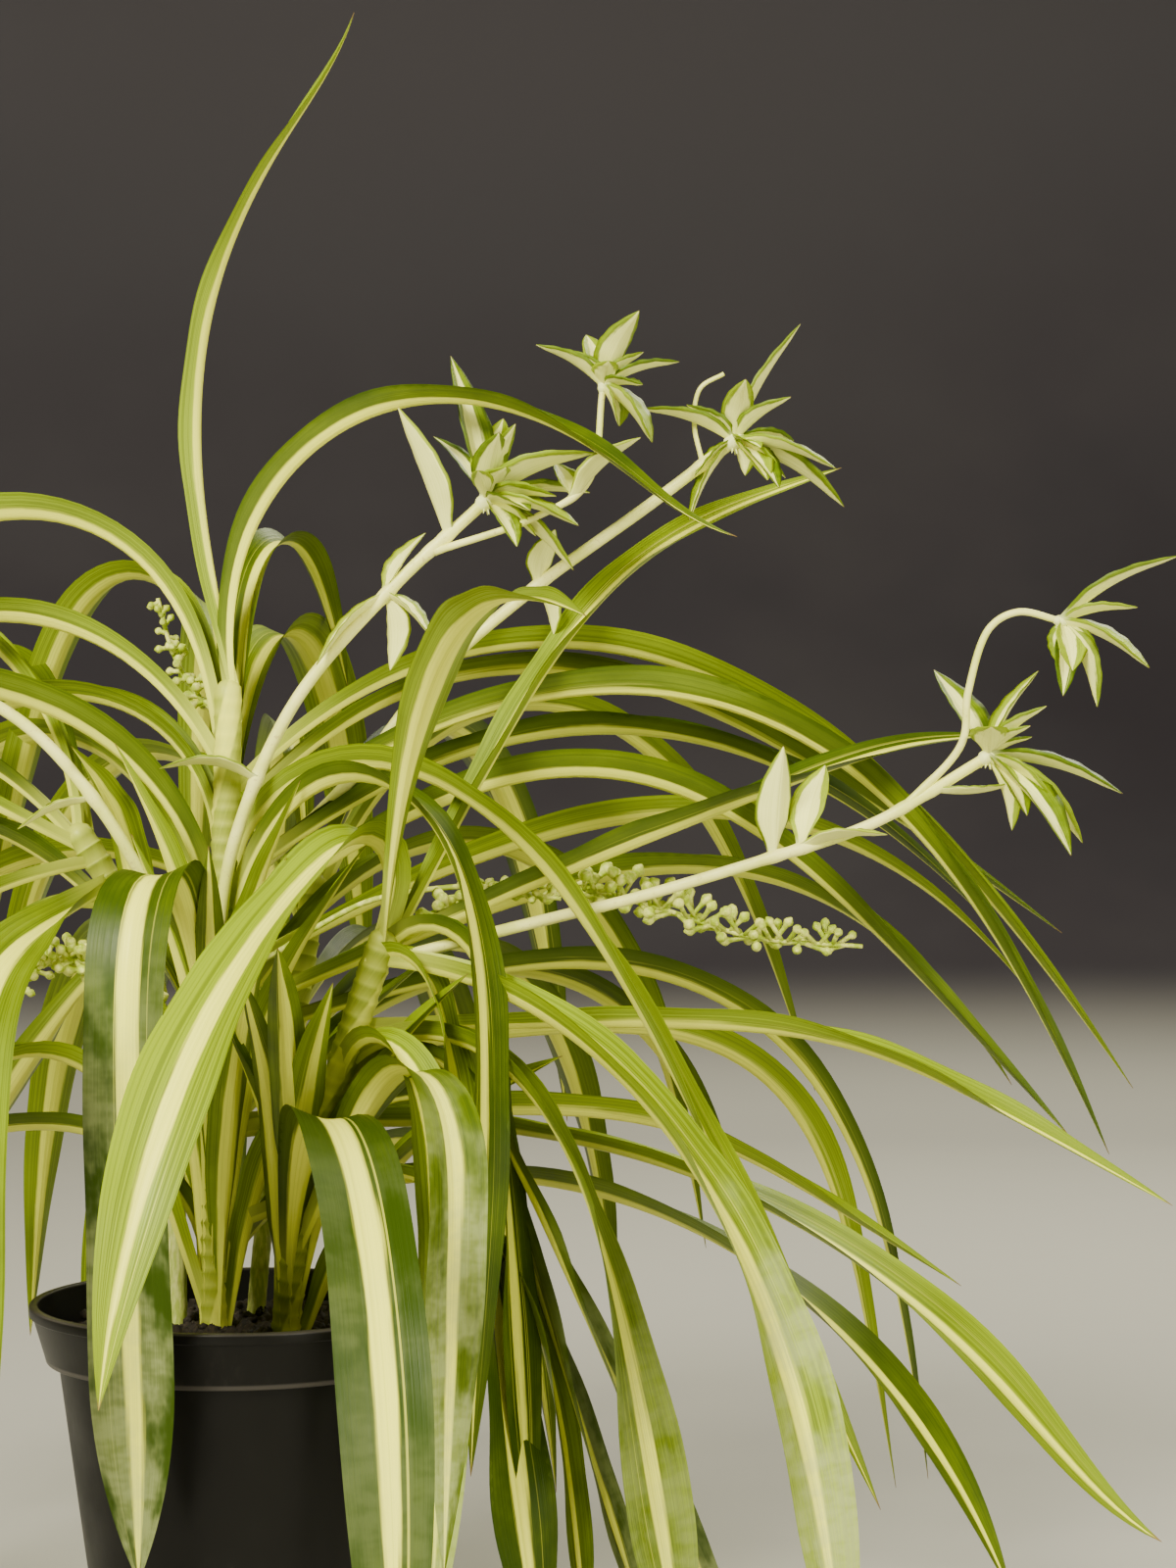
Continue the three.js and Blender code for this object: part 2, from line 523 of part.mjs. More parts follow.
// ---- assembly -----------------------------------------------------------------------------
const plant = new THREE.Group();
function add(name, body, color, roughness) {
  const mesh = new THREE.Mesh(
    toGeometry(body),
    new THREE.MeshStandardMaterial({ color, roughness, metalness: 0 }),
  );
  mesh.name = name;
  plant.add(mesh);
}

const LEAF_GREEN = '#7c9a22';
const STEM_GREEN = '#c3cc72';
const RUNNER_CREAM = '#dcd9a0';
const BUD_GREEN = '#c9cc7a';

add('pot', makePot(), '#211e1b', 0.55);
add('soil', makeSoil(), '#2a2119', 0.95);
for (const [name, stem] of Object.entries(STEMS)) {
  add(`stem_${name}`, makeStem(stem), STEM_GREEN, 0.6);
  add(`leaves_${name}`, makeLeaves(stem, LEAVES[name]), LEAF_GREEN, 0.5);
}
for (const [name, runner] of Object.entries(RUNNERS)) {
  add(`runner_${name}`, makeRunner(runner), RUNNER_CREAM, 0.5);
}
for (const [name, plantlet] of Object.entries(PLANTLETS)) {
  add(`plantlet_${name}`, makePlantlet(plantlet), LEAF_GREEN, 0.5);
}
for (const [name, spray] of Object.entries(BUD_SPRAYS)) {
  add(`bud_spray_${name}`, makeBudSpray(spray), BUD_GREEN, 0.6);
}

export default plant;
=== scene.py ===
"""A potted spider plant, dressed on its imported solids: pot, soil, leafy stems, flower stalks,
plantlets and sprays of buds. Metres, +Z up, the origin at the middle of the pot's underside."""
import bpy
import numpy as np
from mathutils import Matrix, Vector


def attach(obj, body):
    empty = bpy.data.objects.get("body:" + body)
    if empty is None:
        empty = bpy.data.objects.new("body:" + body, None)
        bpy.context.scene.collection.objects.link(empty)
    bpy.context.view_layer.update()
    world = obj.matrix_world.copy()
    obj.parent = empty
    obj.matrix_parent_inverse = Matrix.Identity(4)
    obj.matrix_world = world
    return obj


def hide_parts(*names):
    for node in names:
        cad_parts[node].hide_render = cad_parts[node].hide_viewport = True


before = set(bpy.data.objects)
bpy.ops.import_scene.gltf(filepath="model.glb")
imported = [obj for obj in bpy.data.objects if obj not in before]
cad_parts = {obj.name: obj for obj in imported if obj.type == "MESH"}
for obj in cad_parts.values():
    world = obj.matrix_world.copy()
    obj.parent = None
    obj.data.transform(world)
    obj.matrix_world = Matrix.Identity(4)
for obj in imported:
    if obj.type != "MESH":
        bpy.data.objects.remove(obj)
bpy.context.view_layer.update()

# ---- studio -----------------------------------------------------------------------------------
# The pot stands on a pale sweep of painted board, which curves up behind it into a dark wall.
# Soft boxes light it from the front left, the right and behind, and the camera looks level at it.
SWEEP_WIDTH = 9.0
SWEEP_FRONT, SWEEP_BEND, SWEEP_RADIUS, SWEEP_TOP = -3.5, 1.6, 1.2, 4.5
WALL_PAINT_HEIGHT = 0.12    # the floor's paint gives way to the wall's up to this height
FLOOR_COLOR, WALL_COLOR = (0.52, 0.505, 0.45, 1), (0.042, 0.036, 0.044, 1)
MOTTLE_COLOR = (0.2, 0.19, 0.185, 1)
AIR_COLOR, AIR_STRENGTH = (0.95, 0.93, 0.82, 1), 0.07
LAMP_COLOR = (1, 0.96, 0.78)
SOFT_BOXES = {      # place, aimed at, size, watts
    "key_box": ((-0.95, -1.85, 1.6), (0.02, 0, 0.25), 0.9, 128),
    "fill_box": ((1.6, -1.6, 1.0), (0.05, 0, 0.22), 1.2, 46),
    "back_box": ((0.9, 1.25, 1.5), (0.05, 0, 0.3), 0.9, 30),
}
CAMERA_PLACE, FILM_SIZE, LENS_LENGTH = (0.117, -1.068, 0.298), 36, 72.92


def new_node(tree, kind, inputs=None, **settings):
    """One shader node with its settings; an input takes either a value or a socket to link."""
    node = tree.nodes.new(kind)
    for name, value in settings.items():
        setattr(node, name, value)
    for name, value in (inputs or {}).items():
        if isinstance(value, bpy.types.NodeSocket):
            tree.links.new(value, node.inputs[name])
        else:
            node.inputs[name].default_value = value
    return node


def work_out(tree, operation, *values):
    """A Math node's result for these values or sockets."""
    return new_node(tree, "ShaderNodeMath", dict(enumerate(values)), operation=operation).outputs[0]


def ramp(tree, value, low, high, start=0.0, end=1.0):
    """Goes smoothly from start to end while the value goes from low to high."""
    wanted = {"Value": value, "From Min": low, "From Max": high, "To Min": start, "To Max": end}
    return new_node(tree, "ShaderNodeMapRange", wanted, interpolation_type="SMOOTHSTEP").outputs[0]


def tint(tree, share, first, second):
    """The first colour turned by a share into the second."""
    wanted = {0: share, 6: first, 7: second}
    return new_node(tree, "ShaderNodeMix", wanted, data_type="RGBA").outputs[2]


def grain(tree, place, scale, detail=3.0, rough=0.55):
    """Noise from 0 to 1 at a place vector."""
    wanted = {"Vector": place, "Scale": scale, "Detail": detail, "Roughness": rough}
    return new_node(tree, "ShaderNodeTexNoise", wanted).outputs["Fac"]


def new_material(name):
    """An empty material: its node tree and its Principled shader."""
    material = bpy.data.materials.new(name)
    material.use_nodes = True
    return material, material.node_tree, material.node_tree.nodes["Principled BSDF"]


def object_place(tree):
    """The place of a point on its piece, in metres."""
    return new_node(tree, "ShaderNodeTexCoord").outputs["Object"]


def height_of(tree, place):
    """The height of a place."""
    return new_node(tree, "ShaderNodeSeparateXYZ", {0: place}).outputs["Z"]


def coat(tree, shader, color, roughness):
    """Gives a shader its colour and its roughness, which both change over the surface."""
    tree.links.new(color, shader.inputs["Base Color"])
    tree.links.new(roughness, shader.inputs["Roughness"])


def bump(tree, shader, height, strength, depth):
    """Raises the surface where height is 1 by a depth in metres, for shading."""
    wanted = {"Height": height, "Strength": strength, "Distance": depth}
    tree.links.new(new_node(tree, "ShaderNodeBump", wanted).outputs[0], shader.inputs["Normal"])


def build_mesh(name, skin, material):
    """A smooth mesh object at the origin, from a skin: its points, its quads and its triangles."""
    points, quads, tris = skin
    mesh = bpy.data.meshes.new(name)
    mesh.from_pydata(points.tolist(), [], quads.tolist() + tris.tolist())
    mesh.polygons.foreach_set("use_smooth", np.full(len(mesh.polygons), True))
    mesh.materials.append(material)
    mesh.update()
    piece = bpy.data.objects.new(name, mesh)
    bpy.context.scene.collection.objects.link(piece)
    return piece


turn = np.linspace(0, np.pi / 2, 25)
wall_y = SWEEP_BEND + SWEEP_RADIUS
sweep_y = np.concatenate([[SWEEP_FRONT], SWEEP_BEND + SWEEP_RADIUS * np.sin(turn), [wall_y]])
sweep_z = np.concatenate([[0], SWEEP_RADIUS * (1 - np.cos(turn)), [SWEEP_TOP]])
across = np.tile([-SWEEP_WIDTH / 2, SWEEP_WIDTH / 2], len(sweep_y))
sweep_points = np.stack([across, np.repeat(sweep_y, 2), np.repeat(sweep_z, 2)], -1)
sweep_faces = 2 * np.arange(len(sweep_y) - 1)[:, None] + [0, 1, 3, 2]
board, tree, shader = new_material("painted_board")
place = object_place(tree)
mottle = grain(tree, place, 2.2, 4)
risen = ramp(tree, height_of(tree, place), 0.0, WALL_PAINT_HEIGHT)
painted = tint(tree, risen, FLOOR_COLOR, WALL_COLOR)
mottled = tint(tree, ramp(tree, mottle, 0.3, 0.7, 0, 0.08), painted, MOTTLE_COLOR)
coat(tree, shader, mottled, ramp(tree, mottle, 0.3, 0.7, 0.62, 0.74))
bump(tree, shader, grain(tree, place, 260, 2), 0.12, 0.0003)
build_mesh("studio_sweep", (sweep_points, sweep_faces, np.zeros((0, 3), int)), board)

world = bpy.data.worlds.new("studio_air")
world.use_nodes = True
world.node_tree.nodes["Background"].inputs["Color"].default_value = AIR_COLOR
world.node_tree.nodes["Background"].inputs["Strength"].default_value = AIR_STRENGTH
bpy.context.scene.world = world

for name, (where, target, size, watts) in SOFT_BOXES.items():
    lamp = bpy.data.lights.new(name, "AREA")
    lamp.shape, lamp.size, lamp.energy = "SQUARE", size, watts
    lamp.color = LAMP_COLOR
    box = bpy.data.objects.new(name, lamp)
    box.location = where
    aim = Vector(target) - Vector(where)
    box.rotation_euler = aim.to_track_quat("-Z", "Y").to_euler()
    bpy.context.scene.collection.objects.link(box)

lens = bpy.data.cameras.new("camera")
lens.sensor_width, lens.sensor_height, lens.sensor_fit = FILM_SIZE, FILM_SIZE, "AUTO"
lens.lens = LENS_LENGTH
camera = bpy.data.objects.new("camera", lens)
camera.location = CAMERA_PLACE
camera.rotation_euler = (np.pi / 2, 0, 0)
bpy.context.scene.collection.objects.link(camera)
bpy.context.scene.camera = camera

# ---- pot --------------------------------------------------------------------------------------
# A nursery pot, injection-moulded in one piece from near-black plastic: a tapered body, a wide
# band that steps out under a thin rolled lip, and a flat underside with drain holes.
POT_HEIGHT, POT_WALL, POT_FLOOR = 0.125, 0.002, 0.003
FOOT_RADIUS, BODY_RADIUS, BAND_RADIUS, RIM_RADIUS = 0.0455, 0.0603, 0.0645, 0.070
BAND_HEIGHT, LIP_HEIGHT, LIP_WIDTH = 0.019, 0.0033, 0.0029
FOOT_EDGE, BAND_EDGE, LIP_EDGE, THIN_EDGE = 0.0008, 0.0007, 0.0009, 0.0006      # rounded by these
AXIS_GAP = 1e-5     # a turned outline starts and ends this close to its axis
DRAIN_HOLES, DRAIN_RADIUS, DRAIN_REACH = 5, 0.004, 0.0315
BLACK_PLASTIC, DUSTY_PLASTIC = (0.0032, 0.0029, 0.0024, 1), (0.014, 0.0125, 0.0105, 1)
# a paler plastic that paints the highlight of the key light on the band's step and the lip's top
PAINTED_HIGHLIGHT_PLASTIC = (0.07, 0.062, 0.055, 1)


def close_skin(rings):
    """Points and faces of a body wrapped round closed rings of equal counts: quads between
    neighbouring rings, and a fan from the middle of the first and the last ring. The faces are
    turned round where the volume that they enclose comes out negative."""
    count, around = rings.shape[:2]
    points = np.concatenate([rings.reshape(-1, 3), rings[:1].mean(1), rings[-1:].mean(1)])
    i, j = np.meshgrid(np.arange(count - 1), np.arange(around), indexing="ij")
    a, b = i * around + j, i * around + (j + 1) % around
    quads = np.stack([a, b, b + around, a + around], -1).reshape(-1, 4)
    k = np.arange(around)
    first = np.stack([np.full(around, len(points) - 2), (k + 1) % around, k], -1)
    start = (count - 1) * around
    last = np.stack([np.full(around, len(points) - 1), start + k, start + (k + 1) % around], -1)
    fans = np.concatenate([first, last])
    tris = np.concatenate([quads[:, [0, 1, 2]], quads[:, [0, 2, 3]], fans])
    a, b, c = (points[tris[:, corner]] - points[0] for corner in range(3))
    inside_out = np.einsum("ij,ij->i", a, np.cross(b, c)).sum() < 0
    return (points, quads[:, ::-1], fans[:, ::-1]) if inside_out else (points, quads, fans)


def join_skins(skins):
    """One skin from several that stay apart."""
    start = np.cumsum([0] + [len(points) for points, _, _ in skins])
    return (np.concatenate([points for points, _, _ in skins]),
            np.concatenate([quads + n for n, (_, quads, _) in zip(start, skins)]),
            np.concatenate([tris + n for n, (_, _, tris) in zip(start, skins)]))


def spin(outline, around):
    """Rings of a turned body: each (radius, height) of the outline carried round the Z axis."""
    angle = np.linspace(0, 2 * np.pi, around, endpoint=False)
    radius, height = np.array(outline, float).T
    ring = np.stack([np.cos(angle), np.sin(angle), np.zeros(around)], -1)
    return radius[:, None, None] * ring + height[:, None, None] * np.array([0, 0, 1.0])


def arc(centre, radius, start, end, steps=5):
    """Points of a round edge in the outline, from one angle to another, in degrees."""
    angle = np.radians(np.linspace(start, end, steps))
    return [(centre[0] + radius * np.cos(t), centre[1] + radius * np.sin(t)) for t in angle]


def drawn_upwards(tree, place, share):
    """The place with only a share of its height, which draws a noise out upwards."""
    return new_node(tree, "ShaderNodeMapping", {"Vector": place, "Scale": (1, 1, share)}).outputs[0]


step_at, lip_at = POT_HEIGHT - BAND_HEIGHT, POT_HEIGHT - LIP_HEIGHT
inner_rim = RIM_RADIUS - LIP_WIDTH
body = [(FOOT_RADIUS + (BODY_RADIUS - FOOT_RADIUS) * z / step_at, z)
        for z in np.linspace(0.003, step_at - 0.0002, 26)]
band_spread, band_rise = RIM_RADIUS - 0.0012 - BAND_RADIUS, lip_at - step_at - 0.0014
band = [(BAND_RADIUS + band_spread * t, step_at + 0.0009 + band_rise * t)
        for t in np.linspace(0, 1, 8)[1:]]
inside = [(BAND_RADIUS - POT_WALL + 0.0005, step_at + 0.0022),
          (BODY_RADIUS - POT_WALL, step_at + 0.0016),
          (FOOT_RADIUS - POT_WALL + 0.0004, POT_FLOOR + 0.001),
          (FOOT_RADIUS - POT_WALL - 0.001, POT_FLOOR)]
pot_outline = (
    [(AXIS_GAP, 0)] + arc((FOOT_RADIUS - FOOT_EDGE, FOOT_EDGE), FOOT_EDGE, 270, 352) + body
    + [(BODY_RADIUS + 0.0003, step_at)]
    + arc((BAND_RADIUS - BAND_EDGE, step_at + BAND_EDGE), BAND_EDGE, 270, 360) + band
    + arc((RIM_RADIUS - THIN_EDGE, lip_at + 0.0002), THIN_EDGE, 290, 360, 4)
    + arc((RIM_RADIUS - LIP_EDGE, POT_HEIGHT - LIP_EDGE), LIP_EDGE, 0, 90)
    + arc((inner_rim + THIN_EDGE, POT_HEIGHT - THIN_EDGE), THIN_EDGE, 90, 180) + inside
    + [(AXIS_GAP, POT_FLOOR)]
)
plastic, tree, shader = new_material("nursery_pot_plastic")
place = object_place(tree)
cloud, scuff = grain(tree, place, 38, 4), grain(tree, drawn_upwards(tree, place, 0.12), 420, 3, 0.7)
dusty = work_out(tree, "MULTIPLY", ramp(tree, cloud, 0.45, 0.75), ramp(tree, scuff, 0.45, 0.7))
black = tint(tree, ramp(tree, dusty, 0, 1, 0, 0.5), BLACK_PLASTIC, DUSTY_PLASTIC)
height = height_of(tree, place)
# Painted highlight: thin paler lines along the band's step and round the lip's top, where the key
# light catches those edges.
step = work_out(tree, "MULTIPLY", ramp(tree, height, step_at - 0.0003, step_at + 0.0003),
                ramp(tree, height, step_at + 0.0012, step_at + 0.0021, 1, 0))
lip_top = ramp(tree, height, POT_HEIGHT - 0.001, POT_HEIGHT - 0.0003)
rubbed_and_highlit = work_out(tree, "MULTIPLY", work_out(tree, "MAXIMUM", step, lip_top), 0.8)
worn_and_highlit = tint(tree, rubbed_and_highlit, black, PAINTED_HIGHLIGHT_PLASTIC)
coat(tree, shader, worn_and_highlit, ramp(tree, cloud, 0.3, 0.75, 0.34, 0.5))
shader.inputs["Specular IOR Level"].default_value = 0.24
bump(tree, shader, scuff, 0.1, 0.0003)
pot = build_mesh("nursery_pot", close_skin(spin(pot_outline, 160)), plastic)
hole_turn = 2 * np.pi * (np.arange(DRAIN_HOLES) + 0.5) / DRAIN_HOLES
holes = DRAIN_REACH * np.stack([np.cos(hole_turn), np.sin(hole_turn), 0 * hole_turn], -1)
plug = spin([(DRAIN_RADIUS, -0.01), (DRAIN_RADIUS, 0.01)], 24)
drill = build_mesh("drain_drill", join_skins([close_skin(plug + hole) for hole in holes]), plastic)
cut = pot.modifiers.new("drain_holes", "BOOLEAN")
cut.operation, cut.object, cut.solver = "DIFFERENCE", drill, "EXACT"
drilled = bpy.data.meshes.new_from_object(pot.evaluated_get(bpy.context.evaluated_depsgraph_get()))
pot.modifiers.clear()
pot.data = drilled
bpy.data.objects.remove(drill)
pot.data.set_sharp_from_angle(angle=np.radians(38))
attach(pot, "root")
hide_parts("pot")

# ---- soil -------------------------------------------------------------------------------------
# Dark potting soil of peat and bark, filled to a finger's width under the lip and left uneven,
# with loose crumbs on top.
SOIL_TOP, SOIL_EDGE, SOIL_AROUND = 0.115, 0.0632, 180
DIP_DEPTH, DIP_WIDTH = 0.0028, 0.012        # the soil sinks by this much where it meets the pot
SOIL_UNDERSIDE = [(0.041, 0.0034), (0.0425, 0.006), (0.0573, 0.1055), (0.0575, 0.1079),
                  (0.0615, 0.1093)]
CRUMBS, CRUMB_REACH = 620, 0.0615
SMALLEST_CRUMB, CRUMB_SPREAD = 0.0007, 0.0016
DARK_PEAT, BROWN_PEAT = (0.012, 0.0085, 0.006, 1), (0.05, 0.034, 0.022, 1)
BARK_FIBRE = (0.16, 0.12, 0.08, 1)


def soil_height(x, y):
    """The sum of a checker of 20 mm waves, two slanting waves of 7 and 6 mm, and a finer checker
    of 3 mm waves."""
    broad = 0.0016 * np.sin(310 * x + 0.8) * np.cos(270 * y) + 0.0011 * np.sin(730 * x + 410 * y)
    fine = 0.0006 * np.sin(1900 * x + 900 * y) * np.cos(1500 * y - 700 * x)
    return broad + 0.0007 * np.cos(900 * y - 500 * x) + fine


def dip_share(reach):
    """Goes from 0 to 1 over the dip's width, up to the soil's edge."""
    return np.clip((reach - SOIL_EDGE + DIP_WIDTH) / DIP_WIDTH, 0, 1)


angle = np.linspace(0, 2 * np.pi, SOIL_AROUND, endpoint=False)
reach = np.concatenate([np.linspace(SOIL_EDGE, 0.052, 10), np.linspace(0.051, 0.001, 44)])[:, None]
x, y, dip = reach * np.cos(angle), reach * np.sin(angle), dip_share(reach)
top = np.stack([x, y, SOIL_TOP - DIP_DEPTH * dip ** 2 + (1 - dip) * soil_height(x, y)], -1)
bed = close_skin(np.concatenate([spin(SOIL_UNDERSIDE, SOIL_AROUND), top]))

# A crumb is an icosahedron whose corners are moved in and out, and which is then squashed.
rng = np.random.default_rng(4)
golden = (1 + 5 ** 0.5) / 2
ball = np.array([(-1, golden, 0), (1, golden, 0), (-1, -golden, 0), (1, -golden, 0),
                 (0, -1, golden), (0, 1, golden), (0, -1, -golden), (0, 1, -golden),
                 (golden, 0, -1), (golden, 0, 1), (-golden, 0, -1), (-golden, 0, 1)])
ball /= np.linalg.norm(ball[0])
ball_faces = np.array([(0, 11, 5), (0, 5, 1), (0, 1, 7), (0, 7, 10), (0, 10, 11),
                       (1, 5, 9), (5, 11, 4), (11, 10, 2), (10, 7, 6), (7, 1, 8),
                       (3, 9, 4), (3, 4, 2), (3, 2, 6), (3, 6, 8), (3, 8, 9),
                       (4, 9, 5), (2, 4, 11), (6, 2, 10), (8, 6, 7), (9, 8, 1)])
reach = CRUMB_REACH * np.sqrt(rng.random(CRUMBS))
turn = 2 * np.pi * rng.random(CRUMBS)
x, y = reach * np.cos(turn), reach * np.sin(turn)
z = SOIL_TOP - DIP_DEPTH * dip_share(reach) ** 2 + soil_height(x, y)
crumb_places = np.stack([x, y, z], -1)
crumb_sizes = SMALLEST_CRUMB + CRUMB_SPREAD * rng.random(CRUMBS) ** 3
crumb_forms = ball * rng.uniform(0.6, 1.25, (CRUMBS, 12, 3)) * rng.uniform(0.6, 1.4, (CRUMBS, 1, 3))
crumb_points = crumb_forms * crumb_sizes[:, None, None] + crumb_places[:, None]
crumb_faces = ball_faces + 12 * np.arange(CRUMBS)[:, None, None]
crumbs = crumb_points.reshape(-1, 3), np.zeros((0, 4), int), crumb_faces.reshape(-1, 3)
humus, tree, shader = new_material("potting_soil")
place = object_place(tree)
clod, fibre = grain(tree, place, 240, 5, 0.65), grain(tree, place, 1300, 3, 0.6)
peat = tint(tree, ramp(tree, clod, 0.35, 0.7), DARK_PEAT, BROWN_PEAT)
flecked = tint(tree, ramp(tree, fibre, 0.62, 0.74, 0, 0.7), peat, BARK_FIBRE)
coat(tree, shader, flecked, ramp(tree, clod, 0.3, 0.7, 0.7, 0.95))
bump(tree, shader, work_out(tree, "ADD", clod, work_out(tree, "MULTIPLY", fibre, 0.4)), 0.8, 0.0012)
soil = build_mesh("potting_soil", join_skins([bed, crumbs]), humus)
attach(soil, "root")
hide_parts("soil")

# ---- leafy stems ------------------------------------------------------------------------------
# Four fleshy pale stems stand in the soil and lean apart. Old leaves have left ring scars on
# them, a few millimetres apart, and the sheaths of the living leaves wrap the rest.
STEMS = {           # radius, share of the way where the sheaths start, and points of a bezier curve
    "center": (0.0035, 0.03, [
        (-0.008, 0, 0.1), (-0.012, 0, 0.18), (-0.004, 0, 0.25), (-0.004, 0, 0.328)]),
    "right": (0.0036, 0.05, [
        (0.016, -0.01, 0.1), (0.016, -0.016, 0.15), (0.034, -0.03, 0.2), (0.05, -0.036, 0.246)]),
    "left": (0.0034, 0.6, [
        (-0.022, 0.008, 0.1), (-0.022, 0.01, 0.2), (-0.024, 0.008, 0.236), (-0.054, 0.004, 0.28)]),
    "back": (0.0034, 0.5, [
        (0.002, 0.024, 0.1), (0.004, 0.03, 0.16), (0.014, 0.044, 0.21), (0.02, 0.054, 0.262)]),
}
SCAR_SPACING, SCAR_DEPTH = 0.0042, 0.07
STEM_GREEN, STEM_CREAM = (0.42, 0.52, 0.07, 1), (0.74, 0.76, 0.26, 1)
STEM_BROWN = (0.3, 0.21, 0.08, 1)


def along_bezier(points, at):
    """Points of a cubic bezier curve at fractions of its way."""
    at = np.asarray(at, float)[..., None]
    a, b, c, d = np.array(points, float)
    return a * (1 - at) ** 3 + 3 * b * at * (1 - at) ** 2 + 3 * c * at ** 2 * (1 - at) + d * at ** 3


def unit(vectors):
    """The vectors, each divided by its length."""
    return vectors / np.linalg.norm(vectors, axis=-1, keepdims=True)


def stalk_rings(path, radius, around):
    """Rings round a path: at each point the heading and the Y axis give a side, side and
    heading give an up, and the ring is a circle of the given radius on side and up."""
    heading = unit(np.gradient(path, axis=0))
    side = unit(np.cross(heading, (0, 1, 0)))
    up = np.cross(side, heading)
    angle = np.linspace(0, 2 * np.pi, around, endpoint=False)[:, None]
    circle = side[:, None] * np.cos(angle) + up[:, None] * np.sin(angle)
    return path[:, None] + np.broadcast_to(radius, (len(path),))[:, None, None] * circle


def travelled(path):
    """How far along the path each of its points lies, in metres."""
    return np.concatenate([[0], np.cumsum(np.linalg.norm(np.diff(path, axis=0), axis=1))])


stem_skin, tree, shader = new_material("fleshy_stem")
place = object_place(tree)
fibre, blotch = grain(tree, drawn_upwards(tree, place, 0.2), 900, 3), grain(tree, place, 120, 3)
fleshy = tint(tree, ramp(tree, fibre, 0.35, 0.7), STEM_GREEN, STEM_CREAM)
blotched = tint(tree, ramp(tree, blotch, 0.56, 0.74, 0, 0.6), fleshy, STEM_BROWN)
coat(tree, shader, blotched, ramp(tree, fibre, 0.3, 0.7, 0.42, 0.6))
bump(tree, shader, fibre, 0.3, 0.0003)
for name, (radius, _, points) in STEMS.items():
    path = along_bezier(points, np.linspace(0.002, 0.998, 150))
    from_middle = np.abs((travelled(path) / SCAR_SPACING) % 1 - 0.5) * 2
    girth = radius * (1 - SCAR_DEPTH + SCAR_DEPTH * from_middle ** 8)
    girth[[0, -1]] *= 0.7
    stem = build_mesh(f"stem_of_{name}_crown", close_skin(stalk_rings(path, girth, 24)), stem_skin)
    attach(stem, "root")
    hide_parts(f"stem_{name}")

